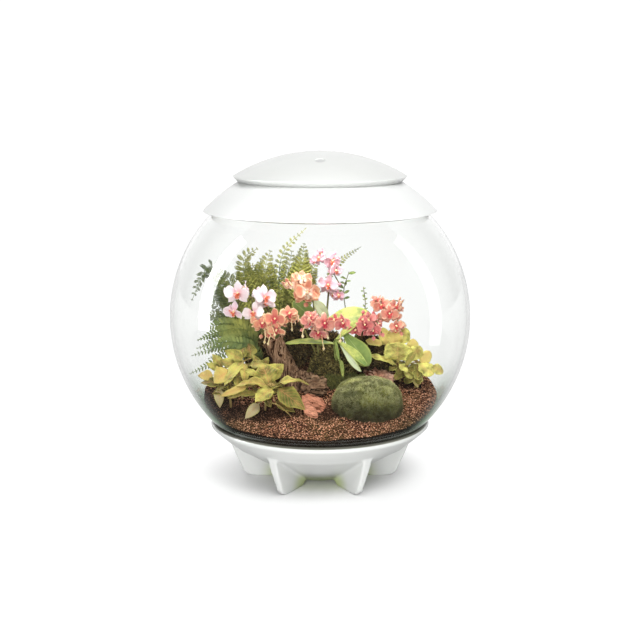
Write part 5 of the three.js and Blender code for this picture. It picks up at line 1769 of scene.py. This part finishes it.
# one lobe of a bloom that faces +Z with its top to +Y
def addLobe(shape, place, outline, heading, root, reach, half, curve, cup, tint, slot, forward, chance,
            ruffle=0.05):
    turn = Matrix.Rotation(math.radians(heading), 4, "Z")
    turn = turn @ Matrix.Rotation(chance.uniform(-3.5, 3.5) * ruffle, 4, "X")
    phase = chance.uniform(0, 6)
    rows = []
    for i in range(9):
        s = i / 8
        out = root + (reach - root) * s
        breadth = half * valueAt(outline, s)
        row = []
        for j in range(7):
            t = j / 3 - 1
            rise = forward + curve * reach * s * s + cup * half * t * t
            ripple = ruffle * half * s * t * t * math.sin(9 * s + 4 * t + phase) * 2
            point = Vector((out - 0.05 * reach * t * t * s, t * breadth, rise + ripple))
            row.append(place @ turn @ (point * mm))
        rows.append(row)
    addGrid(shape, rows, slot, tint, flip=True)


def bloomPlace(at, heading, rise):
    turn, lift = math.radians(heading), math.radians(rise)
    out = Vector((math.cos(turn) * math.cos(lift), math.sin(turn) * math.cos(lift), math.sin(lift)))
    right = Vector((0, 0, 1)).cross(out).normalized()
    basis = Matrix((right, out.cross(right), out)).transposed().to_4x4()
    return Matrix.Translation(Vector(at) * mm) @ basis


# petals, sepals, the three-lobed lip and the column, on a short stalk from the spray's stem
def addBloom(shape, at, size, heading, rise, joint, chance):
    reach = size / 2
    place = bloomPlace(at, heading, rise)
    tint = chance.random()
    for lobe, half, layer in bloomLobes:
        outline = petalOutline if layer > 0 else sepalOutline
        addLobe(shape, place, outline, lobe + chance.uniform(-11, 11), 0.06 * reach,
                reach * chance.uniform(0.9, 1.05), reach * half,
                chance.uniform(-0.12, 0.38) - 0.1 * (layer < 0), chance.uniform(0.05, 0.42) * layer, tint, 0,
                0.9 * layer, chance, 0.15)
    for lobe, root, out, half, curve, cup, forward in lipLobes:
        addLobe(shape, place, lipOutline, lobe, root * reach, out * reach, half * reach, curve, cup, tint, 1,
                forward, chance)
    column = [place @ point for point in inMetres([(0, 0, -1.5), (0, 0.6, 1.5), (0, 0.4, 3.8)])]
    addTube(shape, column, [1.1, 1.2, 0.9], 8, 3, 3)
    back = place @ (Vector((0, 0, -4)) * mm)
    middle = joint.lerp(back, 0.5) + Vector((0, 0, 1.5 * mm))
    addTube(shape, [joint, middle, back, column[0]], [0.7, 0.65, 0.65, 1.0], 6, 4, 2)


# the spray's own blooms, then smaller ones that nod beside and behind them and fill its cluster
def clusterOf(values, chance):
    blooms = list(values["blooms"])
    for k in range(values["more"]):
        at, size, joint, heading, rise = values["blooms"][k % len(values["blooms"])]
        wide, deep, high = values.get("loose", (9, 8, 7))
        shift = Vector((chance.uniform(-wide, wide), chance.uniform(1, deep), chance.uniform(-high, high)))
        blooms.append((Vector(at) + shift, size * chance.uniform(0.5, 0.85), joint,
                       heading + chance.uniform(-75, 75), rise + chance.uniform(-38, 44)))
    return blooms


# a thin stalk that hangs from the cluster and ends in a pale bead
def addDrop(shape, root, chance):
    low = root + Vector((chance.uniform(-4, 4), chance.uniform(-6, 0), chance.uniform(-17, -8))) * mm
    middle = root.lerp(low, 0.5) + Vector((chance.uniform(-2, 2), -2, 2)) * mm
    addTube(shape, [root, middle, low], [0.45, 0.4, 0.4], 6, 4, 3)
    size = chance.uniform(1.0, 1.7)
    bead = [low + Vector((0, 0, (0.6 - k) * size)) * mm for k in range(4)]
    addTube(shape, bead, [0.3, size, size * 0.8, 0.2], 8, 3, 3)


def addBud(shape, at, joint, size, tint):
    at = Vector(at) * mm
    out = (at - joint).normalized()
    addTube(shape, [joint, joint.lerp(at, 0.6), at], [0.6, 0.55, 0.7], 6, 4, 2)
    bulge = [at + out * size * s * mm for s in (-0.6, -0.3, 0, 0.35, 0.7)]
    addTube(shape, bulge, [0.5, size * 0.42, size * 0.55, size * 0.4, 0.3], 10, 3, 0, tint)


# a bloom: (place, size, the station of the stem that it hangs from, heading, rise); a bud: (place, station,
# size); more: how many smaller blooms fill the cluster, and loose: how far they stray
sprays = {
    "orchid_pink_white": {
        "foot": (-58, 36), "stem": [(-62, 32, 180), (-74, 22, 232), (-92, 18, 244), (-107, 22, 240)],
        "blooms": [((-111, 14, 251), 36, 3, -96, 8), ((-75, 12, 246), 36, 1, -60, 12),
                   ((-116, 12, 226), 29, 3, -112, -4), ((-90, 4, 227), 30, 2, -88, 0)],
        "more": 8, "loose": (10, 9, 8),
        "buds": [], "body": (246, 220, 230), "edge": (252, 240, 240), "heart": (240, 186, 196),
        "vein": (236, 190, 210), "lip": (226, 108, 72), "slot": "petal_pink_white"},
    "orchid_salmon": {
        "foot": (-6, 22), "low": 150,
        "stem": [(-16, 12, 190), (-34, 4, 220), (-56, 0, 222), (-74, -1, 214)],
        "blooms": [((-76, -8, 214), 27, 3, -112, 0), ((-60, -14, 221), 31, 2, -92, 5),
                   ((-42, -6, 226), 27, 1, -70, 16), ((-58, -13, 206), 24, 2, -96, -24)],
        "more": 14, "loose": (11, 9, 8), "drops": 4,
        "buds": [((-79, -8, 196), 3, 4.4)], "body": (228, 142, 118), "edge": (244, 208, 160),
        "heart": (204, 84, 88), "vein": (202, 88, 84), "lip": (204, 62, 78), "slot": "petal_salmon"},
    "orchid_rose": {
        "foot": (-2, 14), "low": 150,
        "stem": [(-4, 11, 192), (-4, 0, 212), (12, -12, 221), (28, -16, 217)],
        "blooms": [((-12, -18, 219), 28, 1, -112, 8), ((6, -24, 217), 30, 2, -84, 5),
                   ((29, -25, 217), 25, 3, -70, 5), ((-2, -22, 205), 25, 2, -100, -18)],
        "more": 14, "loose": (10, 9, 7), "drops": 4,
        "buds": [((-24, -14, 206), 1, 4.2)], "body": (210, 110, 112), "edge": (236, 178, 154),
        "heart": (190, 60, 82), "vein": (190, 64, 86), "lip": (196, 44, 70), "slot": "petal_rose"},
    "orchid_red": {
        "foot": (38, 16), "low": 148,
        "stem": [(46, 12, 186), (54, 6, 206), (66, 8, 214), (76, 12, 214)],
        "blooms": [((60, -10, 212), 25, 1, -96, 5), ((65, 1, 218), 22, 2, -80, 20),
                   ((70, -3, 203), 23, 3, -68, -4), ((48, -4, 204), 20, 1, -110, -6)],
        "more": 11, "loose": (9, 8, 7),
        "buds": [((84, -2, 197), 3, 5), ((58, 2, 227), 1, 4.4), ((72, -6, 193), 3, 4.6)],
        "body": (214, 104, 110), "edge": (238, 158, 146), "heart": (160, 42, 62),
        "vein": (166, 46, 64), "lip": (168, 34, 60), "slot": "petal_red"},
    "orchid_far_salmon": {
        "foot": (64, 44), "stem": [(66, 40, 180), (74, 36, 222), (90, 34, 234), (106, 27, 214)],
        "blooms": [((84, 27, 232), 26, 2, -98, 12), ((94, 18, 222), 29, 2, -84, 5),
                   ((103, 14, 206), 21, 3, -72, -6), ((102, 22, 232), 22, 2, -60, 14)],
        "more": 10, "loose": (8, 8, 7),
        "buds": [((76, 30, 240), 1, 4.6), ((111, 20, 194), 3, 4.8)],
        "body": (226, 142, 124), "edge": (240, 198, 170), "heart": (196, 80, 82),
        "vein": (200, 90, 88), "lip": (206, 62, 70), "slot": "petal_far_salmon"},
    "orchid_top_pink": {
        "foot": (6, 62), "stem": [(8, 60, 200), (12, 54, 250), (12, 58, 284), (4, 64, 298)],
        "blooms": [((-1, 56, 293), 21, 3, -108, 10), ((16, 46, 290), 24, 2, -70, 5),
                   ((21, 40, 278), 22, 2, -60, -8), ((11, 34, 259), 29, 1, -96, 5),
                   ((24, 34, 245), 18, 1, -60, 0)],
        "more": 16, "loose": (8, 9, 7),
        "buds": [((0, 56, 303), 3, 4.4), ((27, 44, 258), 2, 4.4), ((20, 52, 300), 2, 4.4)],
        "body": (200, 146, 156), "edge": (228, 196, 204), "heart": (220, 132, 136),
        "vein": (226, 158, 182), "lip": (226, 112, 74), "slot": "petal_top_pink"},
    "orchid_centre_salmon": {
        "foot": (-14, 58), "stem": [(-10, 52, 200), (-9, 44, 232), (-14, 32, 250), (-24, 30, 264)],
        "blooms": [((-17, 6, 253), 38, 2, -84, 5), ((-25, 20, 269), 30, 3, -94, 26),
                   ((-37, 16, 262), 25, 3, -120, 5)],
        "more": 8, "loose": (9, 9, 7),
        "buds": [((-19, 10, 236), 2, 6.4)], "body": (206, 118, 90), "edge": (226, 180, 144),
        "heart": (250, 230, 214), "vein": (196, 86, 70), "lip": (248, 224, 204),
        "slot": "petal_centre_salmon"},
}


petalVeins = {"Count": 0.0, "Slope": 9.0, "Width": 0.22, "Rib": 0.02}


# a petal's skin: a heart colour at its root, a paler edge, and fine veins that fan out
def makePetalFinish(name, values):
    material, tree, shader = newMaterial(name)
    surface = surfacePlace(tree)
    along = partsOf(tree, surface)["X"]
    tint = tintOf(tree)
    lines = useEffect(tree, veins, {"Surface": surface, **petalVeins})
    soft = mottled(tree, objectPlace(tree), 240.0, 0.2)
    body = mixed(tree, times(tree, soft["Mask"], 0.25), values["body"], values["edge"])
    body = mixed(tree, ranged(tree, tint, 0.55, 1.0, 0.0, 0.6), body, values["edge"])
    body = mixed(tree, ranged(tree, tint, 0.0, 0.35, 0.45, 0.0), body, values["vein"])
    rim = mathValue(tree, "MAXIMUM", ranged(tree, lines["Across"], 0.55, 1.0),
                    ranged(tree, along, 0.72, 1.0))
    edged = mixed(tree, times(tree, rim, 0.85), body, values["edge"])
    fade = ranged(tree, along, 0.35, 0.95, 0.55, 0.0)
    veined = mixed(tree, times(tree, lines["Side"], fade), edged, values["vein"])
    heart = ranged(tree, along, 0.08, 0.46, 0.95, 0.0)
    setColour(tree, shader, mixed(tree, heart, veined, values["heart"]))
    setBump(tree, shader, lines["Side"], 0.25, 0.0003)
    put(tree, 0.25, shader.inputs["Sheen Weight"])
    return material


def makeLipFinish(name, lip, edge):
    material, tree, shader = newMaterial(name, 0.42)
    along = partsOf(tree, surfacePlace(tree))["X"]
    speckle = grained(tree, objectPlace(tree), 1600.0)
    spots = times(tree, ranged(tree, speckle["Height"], 0.5, 0.9), 0.4)
    tipped = mixed(tree, ranged(tree, along, 0.6, 1.0, 0.0, 0.5), lip, edge)
    setColour(tree, shader, mixed(tree, spots, tipped, edge))
    return material


def makeColumnFinish():
    material, tree, shader = newMaterial("column", 0.4)
    dots = grained(tree, objectPlace(tree), 1500.0)
    setColour(tree, shader, mixed(tree, dots["Value"], (250, 238, 206), (240, 196, 120)))
    return material


def makeSpray(node, values, stem, column):
    chance = random.Random(node)
    shape = newShape()
    course = [*footStations(values["foot"], 4, values.get("low")), *values["stem"]]
    radii = [1.3, 1.25] + [1.15 - 0.12 * i for i in range(len(values["stem"]))]
    addTube(shape, inMetres(course), radii, 8, 8, 2)
    joints = inMetres(values["stem"])
    for at, size, joint, heading, rise in clusterOf(values, chance):
        addBloom(shape, at, size, heading, rise, joints[joint], chance)
    for k in range(values.get("drops", 0)):
        at, size = values["blooms"][k % len(values["blooms"])][:2]
        root = Vector((at[0] + chance.uniform(-8, 8), at[1] + 3, at[2] - size * 0.3))
        addDrop(shape, root * mm, chance)
    for at, joint, size in values["buds"]:
        addBud(shape, at, joints[joint], size, chance.random())
    petal = makePetalFinish(node + "Petal", values)
    lip = makeLipFinish(node + "Lip", values["lip"], values["edge"])
    piece = finishShape(shape, node + "Spray", [petal, lip, stem, column], 0.5 * mm)
    finishPiece(piece, values["slot"], node)


def makeOrchids():
    stem = makeStemFinish("sprayStem", (150, 148, 84), (104, 84, 54))
    column = makeColumnFinish()
    for node, values in sprays.items():
        makeSpray(node, values, stem, column)


sprigs = {
    "sprig_1": {"course": [(54, 56), (58, 44, 200), (62, 34, 232), (59, 30, 257)], "from": 0.62,
                "count": 11, "size": (2.6, 5.5), "broad": 0.62},
    "sprig_2": {"course": [(34, 70), (36, 64, 214), (33, 60, 246), (40, 56, 274)], "from": 0.66,
                "count": 9, "size": (6, 12), "broad": 0.5},
}
sprigFinish = {
    "light": (150, 164, 92), "dark": (92, 116, 58), "vein": (176, 184, 112), "edge": (140, 152, 84),
    "heartShare": 0.0,
}


# a thin twig with a few small leaves, loosely set on either side of its upper part
def makeSprigs():
    leaf = makeLeafFinish("sprigLeaf", sprigFinish)
    stem = makeStemFinish("sprigTwig", (150, 150, 104), (98, 92, 60))
    for node, values in sprigs.items():
        chance = random.Random(node)
        foot, *course = values["course"]
        points = curveThrough(inMetres([*footStations(foot, 10), *course]), 8)
        shape = newShape()
        addTube(shape, points, [0.7, 0.6, 0.5, 0.35], 6, 1, 1)
        for k in range(values["count"]):
            share = values["from"] + (1 - values["from"]) * (k + chance.uniform(0, 0.8)) / values["count"]
            length = chance.uniform(*values["size"])
            heading = 180 * (k % 2) + chance.uniform(-55, 55)
            root = points[int(share * (len(points) - 1))]
            addLeafAt(shape, root, heading, chance.uniform(0, 60), 40 * math.cos(math.radians(heading)),
                      length=length, width=length * values["broad"], outline="tiny", fold=10, arch=30,
                      tint=chance.uniform(0.1, 0.6), steps=6, across=4)
        finishPiece(finishShape(shape, node + "Twig", [leaf, stem], 0.3 * mm), "sprig_leaf", node)


makeCamera()
makeStudio()
makeFloor()
makeStand()
makeGlobe()
makeCollar()
makeLid()
print("stand, globe and covers made")
makeSoil()
makeMosses()
makeDriftwood()
for node, values in barks.items():
    makeBark(node, values)
print("ground, moss, wood and bark made")
makeFoliage()
makeOrchidLeaves()
makeFern()
print("foliage and fern made")
makeOrchids()
makeSprigs()
print("orchids and sprigs made")
for helper in helpers:
    bpy.data.objects.remove(helper)
